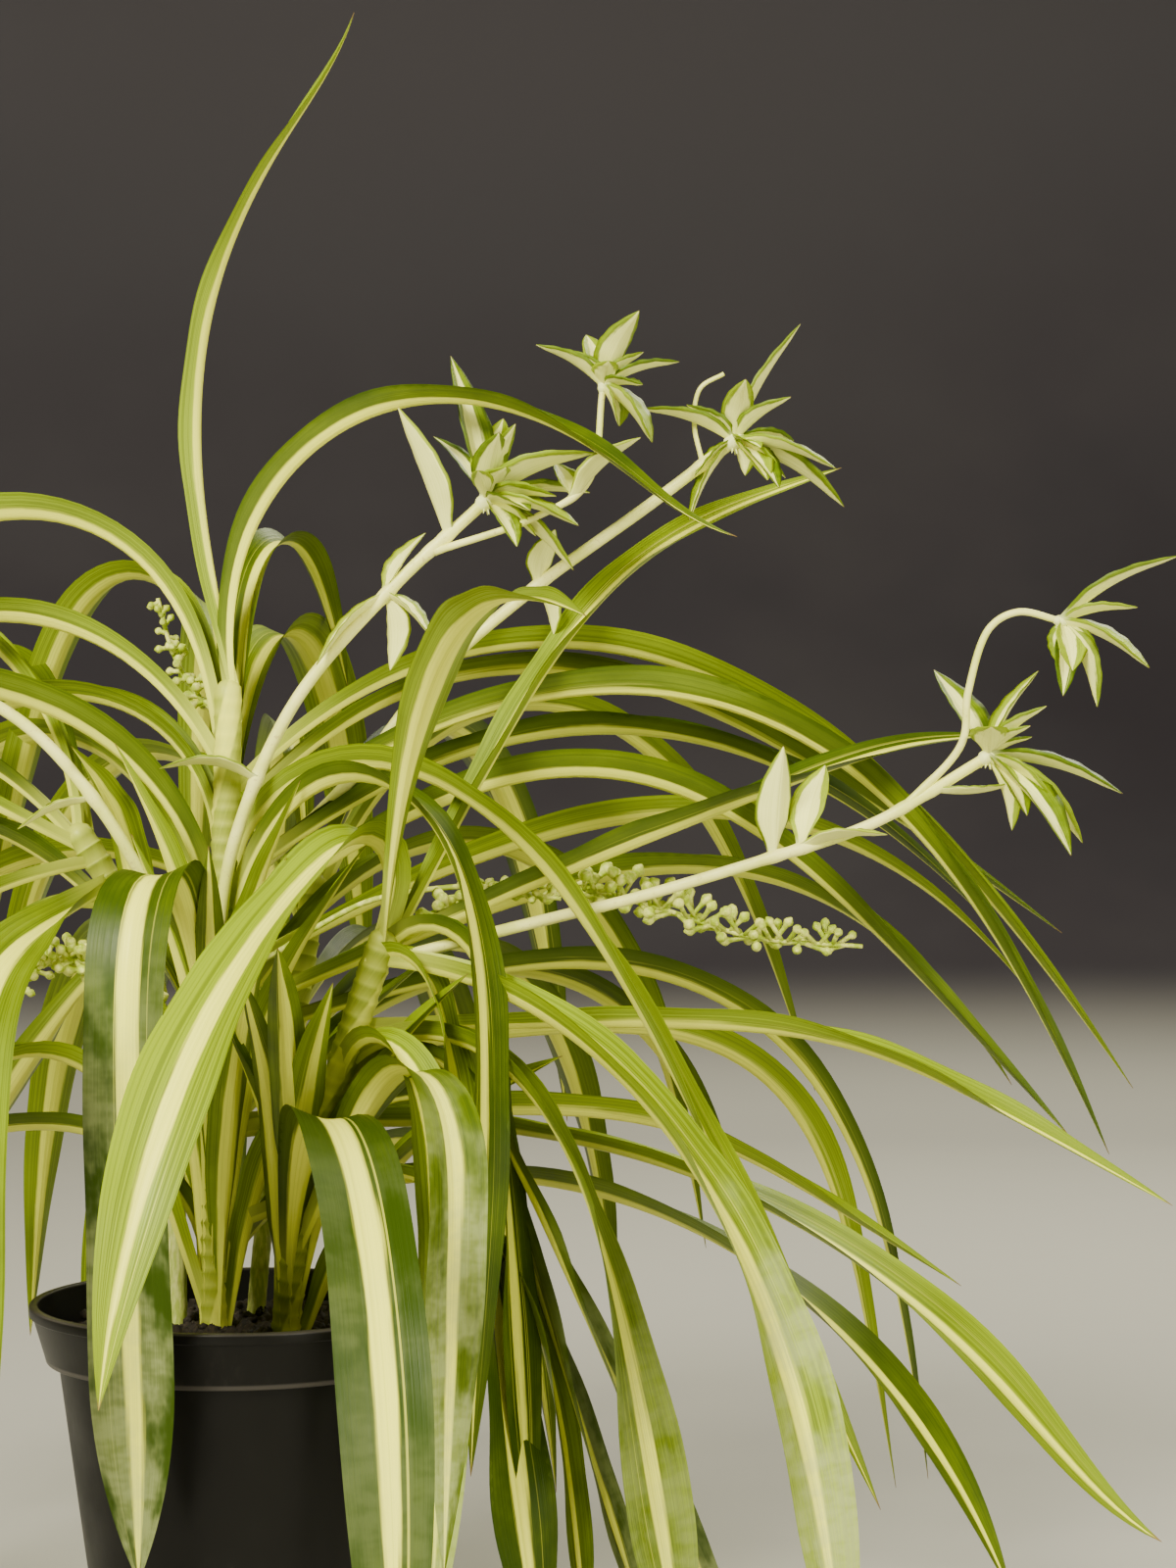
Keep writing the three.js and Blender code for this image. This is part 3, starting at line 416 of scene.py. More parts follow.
# ---- leaves -----------------------------------------------------------------------------------
# Long thin strap leaves with a cream stripe down the middle and green margins. Each one clasps
# its stem with a pale sheath, rises as a deep gutter, arches over and hangs with a pointed tip.
LEAVES = {          # share of the stem's way, then the rib as blade_walk takes it, width and fold
    "center": [
        (0.99, 0, 0, -14, 39, 0.55, 0.35, 0.245, 0.012, 50, {"flick": -22, "tone": 1.3}),
        (0.96, -15, 0, -13, 140, 0.4, 0.45, 0.26, 0.014, 50, {"flick": -35}),
        (0.94, 185, 0, 7, 140, 0.25, 0.2, 0.34, 0.016, 45),
        (0.92, 140, 0, 7, 162, 0.25, 0.15, 0.305, 0.015, 45),
        (0.9, 190, 0, 28, 149, 0.25, 0.3, 0.295, 0.017, 45),
        (0.86, 10, 0, 43, 144, 0.25, 0.4, 0.39, 0.017, 55),
        (0.84, 100, 0, 22, 160, 0.35, 0.3, 0.32, 0.017, 45),
        (0.82, 20, 0, 43, 123, 0.25, 0.3, 0.35, 0.016, 55),
        (0.8, 5, 0, 58, 155, 0.45, 0.3, 0.385, 0.017, 55),
        (0.78, 60, 10, 4, 150, 0.6, 0.15, 0.19, 0.015, 50),
        (0.74, 160, 0, -7, 147, 0.1, 0.35, 0.305, 0.017, 45),
        (0.72, 15, 0, 52, 135, 0.5, 0.5, 0.305, 0.017, 55),
        (0.7, -18, 0, -2, 154, 0.05, 0.25, 0.375, 0.021, 30),
        (0.7, 75, 0, 8, 165, 0.4, 0.2, 0.29, 0.02, 40),
        (0.66, 5, 0, 56, 137, 0.4, 0.2, 0.345, 0.018, 55),
        (0.66, -33, -15, 20, 184, 0.25, 0.2, 0.325, 0.018, 25),
        (0.66, 140, 0, 28, 165, 0.35, 0.3, 0.32, 0.018, 40),
        (0.6, 195, 0, -5, 144, 0.05, 0.55, 0.37, 0.02, 40),
        (0.58, 20, 0, 63, 139, 0.7, 0.4, 0.33, 0.017, 55),
        (0.52, 10, 0, 67, 145, 0.65, 0.25, 0.31, 0.018, 50),
        (0.5, 40, 0, 38, 166, 0.4, 0.3, 0.33, 0.018, 40),
        (0.48, 20, 0, 73, 172, 0.5, 0.25, 0.385, 0.017, 45),
        (0.44, 25, 0, 85, 169, 0.55, 0.15, 0.375, 0.019, 40),
        (0.42, 258, 0, 21, 184, 0.3, 0.1, 0.33, 0.023, 15, {"taper": 0.8, "tone": 0}),
        (0.42, 118, 0, 40, 168, 0.35, 0.3, 0.31, 0.018, 40),
        (0.36, 15, 0, 89, 122, 0.55, 0.15, 0.28, 0.016, 50),
        (0.345, 33, 0, 50, 168, 0.45, 0.3, 0.33, 0.019, 40),
        (0.34, -5, 0, 81, 150, 0.55, 0.7, 0.355, 0.023, 26,
         {"flick": -30, "taper": 0.7, "tone": 0.6}),
        (0.3, 95, 0, 40, 170, 0.4, 0.3, 0.3, 0.018, 40),
        (0.2, -5, 0, 65, 158, 0.4, 0.75, 0.325, 0.021, 26, {"taper": 0.7}),
        (0.16, 112, 0, 50, 172, 0.4, 0.3, 0.27, 0.017, 40),
        (0.14, 52, 0, 50, 170, 0.4, 0.3, 0.28, 0.017, 40),
        (0.1, 185, 0, -10, 137, 0.1, 0.3, 0.31, 0.017, 40),
        (0.09, 205, 0, 18, 165, 0.45, 0.15, 0.25, 0.015, 40),
    ],
    "right": [
        (1, 16, -5, 69, 86, 0.85, 0.1, 0.22, 0.017, 45),
        (1, -75, 0, 22, 100, 0.25, 0.5, 0.295, 0.015, 50),
        (0.97, 35, 0, 32, 72, 0.6, 0.2, 0.265, 0.013, 50),
        (0.96, 225, 20, -27, 109, 0.15, 0.05, 0.26, 0.025, 20, {"droop": 60, "tone": 1.2}),
        (0.95, -25, 0, 93, 176, 0.05, 0.65, 0.305, 0.024, 35, {"taper": 0.6, "tone": 0.8}),
        (0.9, -12, 0, 2, 176, 0.1, 0.1, 0.24, 0.02, 20),
        (0.86, -25, 0, -29, 172, 0.1, 0.15, 0.135, 0.018, 20),
        (0.8, 10, 0, 90, 119, 0.55, 0.15, 0.29, 0.015, 50),
        (0.72, -20, 0, 50, 170, 0.05, 0.25, 0.27, 0.023, 15, {"taper": 0.65}),
        (0.66, -53, 0, 10, 184, 0.05, 0.2, 0.25, 0.02, 20),
        (0.6, -10, 0, 16, 155, 0.1, 0.1, 0.275, 0.02, 20),
        (0.55, -20, 0, 30, 172, 0.15, 0.1, 0.24, 0.022, 15, {"taper": 0.65}),
        (0.5, -5, 0, 33, 162, 0.15, 0.1, 0.25, 0.016, 30),
        (0.45, -10, 0, 69, 175, 0.1, 0.3, 0.215, 0.014, 30),
        (0.3, -55, -5, 40, 184, 0.4, 0.1, 0.265, 0.018, 20),
        (0.13, -75, 0, 9, 177, 0.3, 0.35, 0.345, 0.023, 15, {"taper": 0.65, "tone": -0.15}),
    ],
    "left": [
        (0.98, 170, 0, 0, 147, 0.25, 0.45, 0.315, 0.014, 50),
        (0.98, 165, 0, 42, 149, 0.3, 0.35, 0.27, 0.015, 50),
        (0.97, 208, 0, 64, 150, 0.45, 0.15, 0.275, 0.015, 50),
        (0.945, 125, 0, 25, 160, 0.4, 0.3, 0.3, 0.016, 40),
        (0.925, 210, 0, 99, 169, 0.25, 0.3, 0.27, 0.016, 45),
        (0.865, 260, 0, 99, 182, 0.4, 0.1, 0.31, 0.022, 20),
        (0.8, 230, 0, 67, 173, 0.05, 0.2, 0.29, 0.02, 30),
        (0.75, 150, 0, 50, 168, 0.4, 0.3, 0.28, 0.017, 40),
        (0.7, 130, 0, 100, 130, 0.05, 0.1, 0.26, 0.016, 40),
    ],
    "back": [
        (0.97, 30, 0, 25, 160, 0.35, 0.3, 0.32, 0.017, 40),
        (0.95, 65, 0, 28, 165, 0.35, 0.3, 0.33, 0.018, 40),
        (0.93, 100, 0, 25, 168, 0.35, 0.3, 0.33, 0.018, 40),
        (0.9, 135, 0, 28, 165, 0.35, 0.3, 0.31, 0.018, 40),
        (0.867, 177, 0, 50, 170, 0.35, 0.3, 0.285, 0.017, 40),
        (0.7, 70, 0, 55, 172, 0.35, 0.3, 0.29, 0.019, 35),
        (0.65, 120, 0, 45, 172, 0.35, 0.3, 0.28, 0.018, 35),
        (0.6, 50, 0, 45, 170, 0.35, 0.3, 0.29, 0.018, 35),
    ],
}
INNER_LEAVES = {    # rows of the same kind: the youngest leaves, pressed to the stems low down
    "center": [
        (0.05, 205, 0, 2, 26, 0.6, 0.3, 0.15, 0.013, 55),
        (0.1, 235, 0, 0, 30, 0.6, 0.3, 0.165, 0.014, 55),
        (0.16, 275, 0, 3, 34, 0.55, 0.3, 0.15, 0.013, 55),
        (0.07, 300, 0, 6, 36, 0.6, 0.3, 0.17, 0.014, 55),
        (0.13, 335, 0, 7, 38, 0.6, 0.3, 0.16, 0.014, 55),
        (0.05, 355, 0, 10, 52, 0.6, 0.35, 0.15, 0.014, 55),
        (0.24, 320, 0, 3, 30, 0.6, 0.3, 0.15, 0.013, 55),
        (0.3, 230, 0, 2, 34, 0.6, 0.3, 0.15, 0.013, 55),
    ],
    "right": [
        (0.06, 215, 0, -3, 28, 0.6, 0.3, 0.12, 0.013, 55),
        (0.1, 255, 0, 4, 34, 0.6, 0.3, 0.13, 0.014, 55),
        (0.07, 290, 0, 9, 44, 0.6, 0.3, 0.14, 0.014, 55),
        (0.14, 325, 0, 16, 52, 0.6, 0.3, 0.14, 0.014, 55),
        (0.05, 350, 0, 22, 64, 0.55, 0.3, 0.14, 0.014, 55),
        (0.3, 270, 0, 14, 50, 0.6, 0.3, 0.12, 0.013, 55),
    ],
    "left": [(0.62, 250, 0, 12, 60, 0.6, 0.3, 0.1, 0.013, 55)],
}
WORN_LEAVES = {     # how worn some leaves are, from 0 to 1, by their row
    "right": {4: 1.0, 8: 0.5, 9: 0.75, 10: 0.8, 12: 0.5, 14: 0.9, 15: 0.2},
    "center": {23: 0.8},
}
SHEATH_WALL, SHEATH_GAP, SHEATH_SPACING = 0.0015, 0.0003, 0.0055
WIDER, FLATTER = 1.22, 0.8      # on the rows' widths and folds, which are the solids'
LIGHT_TURN, LIGHT_TURN_RIGHT = 30, 50   # degrees by which hanging ends turn to the light in front
LEAF_ROLL, LEAF_LEAN = 9, 16    # degrees by which a blade rolls either way, and leans to the light
BLADE_ACROSS = np.array([-1, -0.76, -0.46, -0.18, 0, 0.18, 0.46, 0.76, 1])
GUTTER_ROUND, GUTTER_RIB = 0.06, 0.245      # the hyperbola's rounding, and its height at the rib
MARGIN_THICKNESS, RIB_THICKENING, TIP_HALF_WIDTH = 0.00016, 0.00034, 0.00008
TIP_GAP = 0.0002        # a blade ends this much before its solid's tip
DRY_TIP, UNDERSIDE_GREEN = (0.23, 0.135, 0.05, 1), (0.34, 0.42, 0.06, 1)
WORN_GREEN = (0.5, 0.55, 0.24, 1)


def pointing(tilt, turn):
    """Directions at a tilt from the vertical and a turn about it: sine of the tilt times cosine
    and sine of the turn, and cosine of the tilt."""
    level = np.sin(tilt)
    return np.stack([level * np.cos(turn), level * np.sin(turn), np.cos(tilt)], -1)


def blade_walk(base, heading, sweep, rise, fall, bend, sharp, length, droop=0, flick=0,
               stations=58):
    """Points, headings, turns and shares of the way along a rib. Its turn about Z goes evenly
    from heading through sweep. Its tilt from the vertical goes from rise to fall as a hyperbolic
    tangent, steepest at bend; droop adds an even share of itself and flick turns the last fifth.
    The points add up the headings, which are taken halfway between four times as many points."""
    def tilt_at(s):
        curve = np.tanh((s - bend) / sharp)
        first, last = np.tanh(-bend / sharp), np.tanh((1 - bend) / sharp)
        tip = flick * np.clip((s - 0.8) / 0.2, 0, 1) ** 2
        return np.radians(rise + (fall - rise) * (curve - first) / (last - first) + droop * s + tip)

    def way(s):
        return pointing(tilt_at(s), np.radians(heading + sweep * s))

    each = 4
    fine = each * (stations - 1)
    steps = way((np.arange(fine) + 0.5) / fine) * (length - TIP_GAP) / fine
    points = np.array(base) + np.concatenate([np.zeros((1, 3)), np.cumsum(steps, axis=0)])
    s = np.linspace(0, 1, stations)
    return points[::each], way(s), np.radians(heading + sweep * s), s


def blade_skin(walk, width, fold, taper, lush=1.0, roll=0.0, swing=0.0, wave=0.0, phase=0.0,
               start=72.0, root=0.42):
    """A closed blade on a rib. Its half width grows from root to the whole over the first 38%
    and falls to nothing with the square of the way past taper. Across, it is a gutter whose
    height is a hyperbola on both sides of the rib, folded by start degrees at the base, by fold
    at 30% and by 60% of fold at the tip. It is 0.5 mm thick at the rib and 0.16 at the margins,
    times lush. Its margins ripple by wave, in five sine waves from phase on. It leans over by
    roll degrees halfway, and its hanging end turns by swing degrees."""
    points, along, turn, s = walk
    side = np.stack([-np.sin(turn), np.cos(turn), 0 * turn], -1)
    up = np.cross(along, side)
    grown = np.clip(s / 0.38, 0, 1)
    half = 0.5 * width * (root + (1 - root) * grown ** 2 * (3 - 2 * grown))
    half = half * (1 - np.clip((s - taper) / (1 - taper), 0, 1) ** 2) + TIP_HALF_WIDTH
    opening, flattening = start + (fold - start) * s / 0.3, fold * (1 - 0.4 * (s - 0.3) / 0.7)
    lift = np.radians(np.where(s < 0.3, opening, flattening))
    leaning = np.radians(roll * np.sin(np.pi * s) + swing * np.clip((s - 0.4) / 0.4, 0, 1))
    cos, sin = np.cos(leaning)[:, None], np.sin(leaning)[:, None]
    side, up = side * cos + up * sin, up * cos - side * sin
    u = BLADE_ACROSS
    deepest = np.sqrt(1 + GUTTER_ROUND) - GUTTER_RIB
    gutter = (np.sqrt(u ** 2 + GUTTER_ROUND) - GUTTER_RIB) / deepest
    ripple = np.sin(2 * np.pi * (s[:, None] * 5 + phase) + 1.3 * u) * u ** 2
    ripple = wave * ripple * np.sin(np.pi * s)[:, None]
    height = half[:, None] * np.sin(lift)[:, None] * gutter + ripple
    breadth = half[:, None] * np.cos(lift)[:, None] * u
    thick = lush * (MARGIN_THICKNESS + RIB_THICKENING * (1 - np.abs(u)) ** 1.3)
    thick = thick * np.minimum(1, 0.25 + half / (0.3 * width))[:, None]
    top = points[:, None] + breadth[..., None] * side[:, None] + height[..., None] * up[:, None]
    under = top - thick[..., None] * up[:, None]
    rings = np.concatenate([top, under[:, -2:0:-1]], axis=1)
    across = np.concatenate([u, u[-2:0:-1]])
    below = np.concatenate([np.zeros(len(u)), np.ones(len(u) - 2)])
    places = np.stack(np.broadcast_arrays(0.5 + 0.5 * across, s[:, None], below), -1).reshape(-1, 3)
    return close_skin(rings), np.concatenate([places, [(0.5, 0, 0.5), (0.5, 1, 0.5)]])


def mark_leaf(piece, places, tone, worn_and_highlit):
    """Writes the leaf map (across and along the blade) and the marks that its finish reads."""
    mesh = piece.data
    corner = np.zeros(len(mesh.loops), int)
    mesh.loops.foreach_get("vertex_index", corner)
    leaf_map = mesh.uv_layers.new(name="leaf_map")
    leaf_map.data.foreach_set("uv", places[corner, :2].ravel().astype("f"))
    for name, values in (("under", places[:, 2]), ("tone", tone), ("worn_and_highlit", worn_and_highlit)):
        mesh.attributes.new(name, "FLOAT", "POINT").data.foreach_set("value", values.astype("f"))


marks = bpy.data.node_groups.new("leaf_markings", "ShaderNodeTree")
for name, kind in (("Place", "Vector"), ("Stripe Share", "Float"), ("Tone", "Float"),
                   ("Under", "Float"), ("Worn", "Float"), ("Stripe Color", "Color"),
                   ("Margin Color", "Color"), ("Deep Color", "Color"), ("Sheath Color", "Color")):
    marks.interface.new_socket(name, in_out="INPUT", socket_type=f"NodeSocket{kind}")
for name, kind in (("Color", "Color"), ("Roughness", "Float"), ("Height", "Float")):
    marks.interface.new_socket(name, in_out="OUTPUT", socket_type=f"NodeSocket{kind}")
given = new_node(marks, "NodeGroupInput").outputs
flat = new_node(marks, "ShaderNodeSeparateXYZ", {0: given["Place"]}).outputs


def times(value, by):
    """The product of two values of the markings."""
    return work_out(marks, "MULTIPLY", value, by)


def plus(value, more):
    """The sum of two values of the markings."""
    return work_out(marks, "ADD", value, more)


own = times(given["Tone"], 57)
from_rib = work_out(marks, "ABSOLUTE", work_out(marks, "MULTIPLY_ADD", flat["X"], 2, -1))


def streaks(across, along, detail=3.0):
    """Noise drawn out along the blade, with so many streaks across it and so many along, and
    another noise for each tone."""
    spread = {0: times(flat["X"], across), 1: times(flat["Y"], along), 2: own}
    return grain(marks, new_node(marks, "ShaderNodeCombineXYZ", spread).outputs[0], 1.0, detail)


# The stripe ends where the way from the rib, with some noise, passes its share of the width.
band, vein, cloud = streaks(7, 2.5), streaks(46, 1.2, 2), streaks(1.5, 9, 4)
wander = work_out(marks, "MULTIPLY_ADD", cloud, 0.14, -0.345)
wander = work_out(marks, "MULTIPLY_ADD", band, 0.55, wander)
narrowed = times(given["Stripe Share"], ramp(marks, flat["Y"], 0.35, 1.0, 1.0, 0.6))
narrowed = times(narrowed, work_out(marks, "MULTIPLY_ADD", given["Under"], 0.8, 1))
past_stripe = work_out(marks, "SUBTRACT", plus(from_rib, wander), narrowed)
stripe = ramp(marks, past_stripe, -0.055, 0.075, 1, 0)

# Green margins with darker veins and a few hairlines of cream, and a faintly veined stripe.
shade = plus(times(given["Tone"], 0.62), times(cloud, 0.5))
margin = tint(marks, ramp(marks, shade, 0.15, 0.8), given["Deep Color"], given["Margin Color"])
margin = tint(marks, ramp(marks, vein, 0.4, 0.62, 0, 0.5), margin, given["Deep Color"])
hair = ramp(marks, streaks(24, 0.7, 2), 0.6, 0.68, 0, 0.4)
hair = times(hair, ramp(marks, from_rib, 0.4, 0.7, 1, 0))
margin = tint(marks, hair, margin, given["Stripe Color"])
greener = ramp(marks, vein, 0.42, 0.75, 0, 0.25)
cream = tint(marks, greener, given["Stripe Color"], given["Margin Color"])
color = tint(marks, stripe, margin, cream)

# A pale sheath end, a dry tip, a duller underside and, on worn leaves, pale rubbed patches.
color = tint(marks, ramp(marks, flat["Y"], 0.0, 0.13, 0.8, 0), color, given["Sheath Color"])
dry = times(ramp(marks, flat["Y"], 0.982, 0.998), ramp(marks, cloud, 0.3, 0.5))
color = tint(marks, dry, color, DRY_TIP)
color = tint(marks, times(given["Under"], 0.14), color, UNDERSIDE_GREEN)
quilt = plus(times(streaks(2.2, 62, 2), 0.6), times(vein, 0.4))
rubbed_and_highlit = times(given["Worn"], ramp(marks, cloud, 0.36, 0.56))
rubbed_and_highlit = times(rubbed_and_highlit, ramp(marks, quilt, 0.36, 0.58, 0.45, 1))
color = tint(marks, times(rubbed_and_highlit, 0.55), color, WORN_GREEN)
result = new_node(marks, "NodeGroupOutput").inputs
marks.links.new(color, result["Color"])
rough = plus(ramp(marks, vein, 0.3, 0.7, 0.36, 0.5), times(rubbed_and_highlit, 0.2))
marks.links.new(rough, result["Roughness"])
relief = plus(vein, times(times(quilt, given["Worn"]), 2))
marks.links.new(plus(relief, ramp(marks, from_rib, 0, 0.1, -1, 0)), result["Height"])


def leaf_finish(name, share, stripe_color, margin_color, deep_color, sheath_color):
    """A leaf's finish: the markings, with this width of stripe and these colours."""
    material, tree, shader = new_material(name)
    marked = new_node(tree, "ShaderNodeGroup", node_tree=marks)
    own_map = new_node(tree, "ShaderNodeUVMap", uv_map="leaf_map").outputs["UV"]
    tree.links.new(own_map, marked.inputs["Place"])
    for socket, mark in (("Tone", "tone"), ("Under", "under"), ("Worn", "worn_and_highlit")):
        written = new_node(tree, "ShaderNodeAttribute", attribute_name=mark).outputs["Fac"]
        tree.links.new(written, marked.inputs[socket])
    for socket, value in (("Stripe Share", share), ("Stripe Color", stripe_color),
                          ("Margin Color", margin_color), ("Deep Color", deep_color),
                          ("Sheath Color", sheath_color)):
        marked.inputs[socket].default_value = value
    coat(tree, shader, marked.outputs["Color"], marked.outputs["Roughness"])
    shader.inputs["Specular IOR Level"].default_value = 0.18
    bump(tree, shader, marked.outputs["Height"], 0.35, 0.0003)
    return material


def sheath_on(points, start, outer, around=20):
    """The sheaths of a stem from start to its end, and their leaf map. Each is a cone that widens
    with the cube of its way to the next, and a dome closes the last one. The map takes them round
    the blade's green and cream by a sine of the turn, which shifts as they climb."""
    path = along_bezier(points, np.linspace(start, 1, 120))
    overlap = (travelled(path) / SHEATH_SPACING) % 1
    girth = outer * (0.86 + 0.12 * overlap ** 3)
    dome = path[-1] + unit(path[-1] - path[-2]) * outer * np.array([0.5, 0.85, 1.0])[:, None]
    path = np.concatenate([path, dome])
    overlap = np.concatenate([overlap, [0.2, 0.1, 0]])
    girth = np.concatenate([girth, outer * np.array([0.84, 0.5, 0.15])])
    round_it = np.linspace(0, 2 * np.pi, around, endpoint=False) + 60 * travelled(path)[:, None]
    across, along = 0.78 + 0.19 * np.sin(round_it), 0.02 + 0.06 * overlap[:, None]
    places = np.stack(np.broadcast_arrays(across, along, 0.3), -1).reshape(-1, 3)
    places = np.concatenate([places, [(0.5, 0.03, 0.3)] * 2])
    return close_skin(stalk_rings(path, girth, around)), places


strap_leaf = leaf_finish("strap_leaf", 0.245, (1.0, 1.0, 0.12, 1), (0.27, 0.37, 0.0, 1),
                         (0.028, 0.056, 0.0, 1), (0.66, 0.7, 0.1, 1))
rng = np.random.default_rng(11)
for name, rows in LEAVES.items():
    radius, sheath_from, points = STEMS[name]
    outer = radius + SHEATH_GAP + SHEATH_WALL
    sheath, sheath_places = sheath_on(points, sheath_from, outer)
    skins, places = [sheath], [sheath_places]
    tones, wears = [np.full(len(sheath_places), 0.5)], [np.zeros(len(sheath_places))]
    for row, values in enumerate(rows + INNER_LEAVES.get(name, [])):
        at, heading, sweep, rise, fall, bend, sharp, length, width, fold, *more = values
        more = more[0] if more else {}
        out = np.array([np.cos(np.radians(heading)), np.sin(np.radians(heading)), 0])
        base = along_bezier(points, at) + out * (outer - 0.5 * SHEATH_WALL)
        walk = blade_walk(base, heading, sweep, rise, fall, bend, sharp, length,
                          more.get("droop", 0), more.get("flick", 0))
        roll = rng.uniform(-LEAF_ROLL, LEAF_ROLL) - LEAF_LEAN * out[0]
        light_turn = LIGHT_TURN_RIGHT if name == "right" else LIGHT_TURN
        swing = light_turn * (0.8 + 0.4 * (0.618 * row % 1)) * out[0]
        skin, blade_places = blade_skin(
            walk, WIDER * width, FLATTER * fold, more.get("taper", 0.5), roll=roll, swing=swing,
            wave=rng.uniform(0.0002, 0.0007), phase=rng.random())
        tone = rng.random()
        wear = WORN_LEAVES.get(name, {}).get(row, 0) * np.clip(blade_places[:, 1] * 4 - 1.4, 0, 1)
        skins.append(skin)
        places.append(blade_places)
        tones.append(np.full(len(blade_places), more.get("tone", tone)))
        wears.append(wear)
    leaves = build_mesh(f"leaves_of_{name}_crown", join_skins(skins), strap_leaf)
    mark_leaf(leaves, np.concatenate(places), np.concatenate(tones), np.concatenate(wears))
    leaves.data.set_sharp_from_angle(angle=np.radians(65))
    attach(leaves, "root")
    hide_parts(f"leaves_{name}")

# ---- runners ----------------------------------------------------------------------------------
# Wiry pale flower stalks that arch out of the crowns. At each joint the stalk swells a little,
# bears a bract, which is a small pointed leaf, and may part into a thin branch.
RUNNERS = {         # radius, points in mm, branches (radius, points), bracts (point, shape)
    "1": (0.0024, [(-7, -5, 245), (-1, -10, 278), (19, -14, 324), (52, -15, 363), (83, -13, 392)],
          [(0.0013, [(66, -15, 375), (101, -16, 387), (117, -16, 398), (122, -14, 430)])],
          [((7, -13, 299), (-60, 8, 34, 6.5, 45)), ((70, -14, 380), (-18, 10, 46, 8, 5)),
           ((50, -15, 361), (20, -15, 27, 5)), ((50, -15, 361), (120, 20, 22, 5)),
           ((50, -15, 361), (167, -10, 26, 6.5)), ((50, -15, 361), (-124, 15, 34, 5)),
           ((112, -16, 392), (-15, -20, 17, 5)), ((112, -16, 392), (36, 15, 32, 6.5))]),
    "2": (0.0024, [(-4, 2, 262), (7, 9.5, 271), (19, 13, 282), (31, 15, 294), (42, 12.5, 306),
                   (64, 9, 334), (97, 8, 363), (137, 8, 392), (166.4, 8.3, 414.2)],
          [(0.0009, [(156, 8, 406), (153, 8, 420), (155, 8, 432), (163, 8, 437)])],
          [((100, 8, 365), (10, 15, 22, 5)), ((100, 8, 365), (150, -15, 18, 5))]),
    "3": (0.0022, [(50, -35, 240), (69, -33, 245), (88, -33, 250), (109, -28, 255), (130, -27, 260),
                   (174, -28, 273), (210, -28, 285), (248, -28, 307)],
          [(0.0014, [(220, -28, 290), (239, -30, 311), (241, -32, 328), (248, -33, 349),
                     (257, -34, 354), (271, -34, 351)])],
          [((178, -28, 274), (3, 5, 37, 6.4, 5)), ((187, -28, 277), (11, -20, 34, 6)),
           ((187, -28, 277), (67, 20, 30, 6)), ((230, -28, 296), (97, 0, 27, 4.5, -25))]),
    "left": (0.0023, [(-10, -5, 228), (-20, -13, 247), (-42, -27, 289), (-65, -32, 316),
                      (-88, -35, 330), (-124, -35, 343), (-176, -35, 350)], [],
             [((-128, -35, 344), (-15, 20, 30, 6)), ((-128, -35, 344), (30, -20, 24, 5)),
              ((-46, -28, 293), (-100, 10, 26, 5))]),
}
JOINT_SWELL, JOINT_REACH = 0.2, 0.003
LEAFLET_WIDER, LEAFLET_FOLD = 2.3, 24
STALK_CREAM, STALK_GREEN = (1.0, 0.98, 0.32, 1), (0.8, 0.84, 0.16, 1)
STALK_BROWN, PALE_CREAM = (0.45, 0.33, 0.14, 1), (1.0, 1.0, 0.34, 1)


def along_spline(points, at):
    """Points, given in millimetres, of a smooth curve through them, at fractions of its way.
    Each stretch is a cubic whose end slopes weigh the neighbouring points by the square roots
    of their distances, and the curve is carried on straight past its ends."""
    p = np.array(points, float) / 1000
    p = np.concatenate([2 * p[:1] - p[1:2], p, 2 * p[-1:] - p[-2:-1]])
    span = np.sqrt(np.linalg.norm(np.diff(p, axis=0), axis=1))[:, None]
    near, far, beyond = span[:-2], span[1:-1], span[2:]
    a, b, c, d = p[:-3], p[1:-2], p[2:-1], p[3:]
    leave = ((b - a) / near - (c - a) / (near + far) + (c - b) / far) * far
    arrive = ((c - b) / far - (d - b) / (far + beyond) + (d - c) / beyond) * far
    way = np.asarray(at, float) * len(b)
    i = np.minimum(way.astype(int), len(b) - 1)
    t = (way - i)[:, None]
    cubed, squared = 2 * b - 2 * c + leave + arrive, 3 * c - 3 * b - 2 * leave - arrive
    return cubed[i] * t ** 3 + squared[i] * t ** 2 + leave[i] * t + b[i]


def leaflet(base, shape, lush=1.4):
    """A small leaf on a point. Its shape gives lean, fore, length, width and, where it isn't 25,
    curl: it leans from upright towards +X, and fore of that to the front, and bends by curl on
    its way. Base, length and width are in millimetres, the rest in degrees."""
    lean, fore, length, width, curl = (*shape, 25)[:5]
    lean, fore = np.radians(lean), np.radians(fore)
    ahead = np.array([np.sin(lean) * np.cos(fore), -np.sin(fore), np.cos(lean) * np.cos(fore)])
    rise, heading = np.degrees(np.arccos(ahead[2])), np.degrees(np.arctan2(ahead[1], ahead[0]))
    walk = blade_walk(np.array(base) / 1000, heading, 0, rise, rise + curl, 0.5, 0.4,
                      length / 1000, stations=22)
    return blade_skin(walk, LEAFLET_WIDER * width / 1000, LEAFLET_FOLD, 0.4, lush, wave=0.0002,
                      phase=length, start=44, root=0.3)


stalk_skin, tree, shader = new_material("wiry_stalk")
place = object_place(tree)
fibre, blotch = grain(tree, place, 700, 3), grain(tree, place, 60, 3)
pale = tint(tree, ramp(tree, blotch, 0.35, 0.68), STALK_CREAM, STALK_GREEN)
flecked = tint(tree, ramp(tree, fibre, 0.6, 0.76, 0, 0.5), pale, STALK_BROWN)
coat(tree, shader, flecked, ramp(tree, fibre, 0.3, 0.7, 0.36, 0.52))
bump(tree, shader, fibre, 0.25, 0.0003)
bract_leaf = leaf_finish("bract_leaf", 0.62, PALE_CREAM, (0.46, 0.56, 0.02, 1),
                         (0.16, 0.25, 0.0, 1), (0.85, 0.87, 0.4, 1))


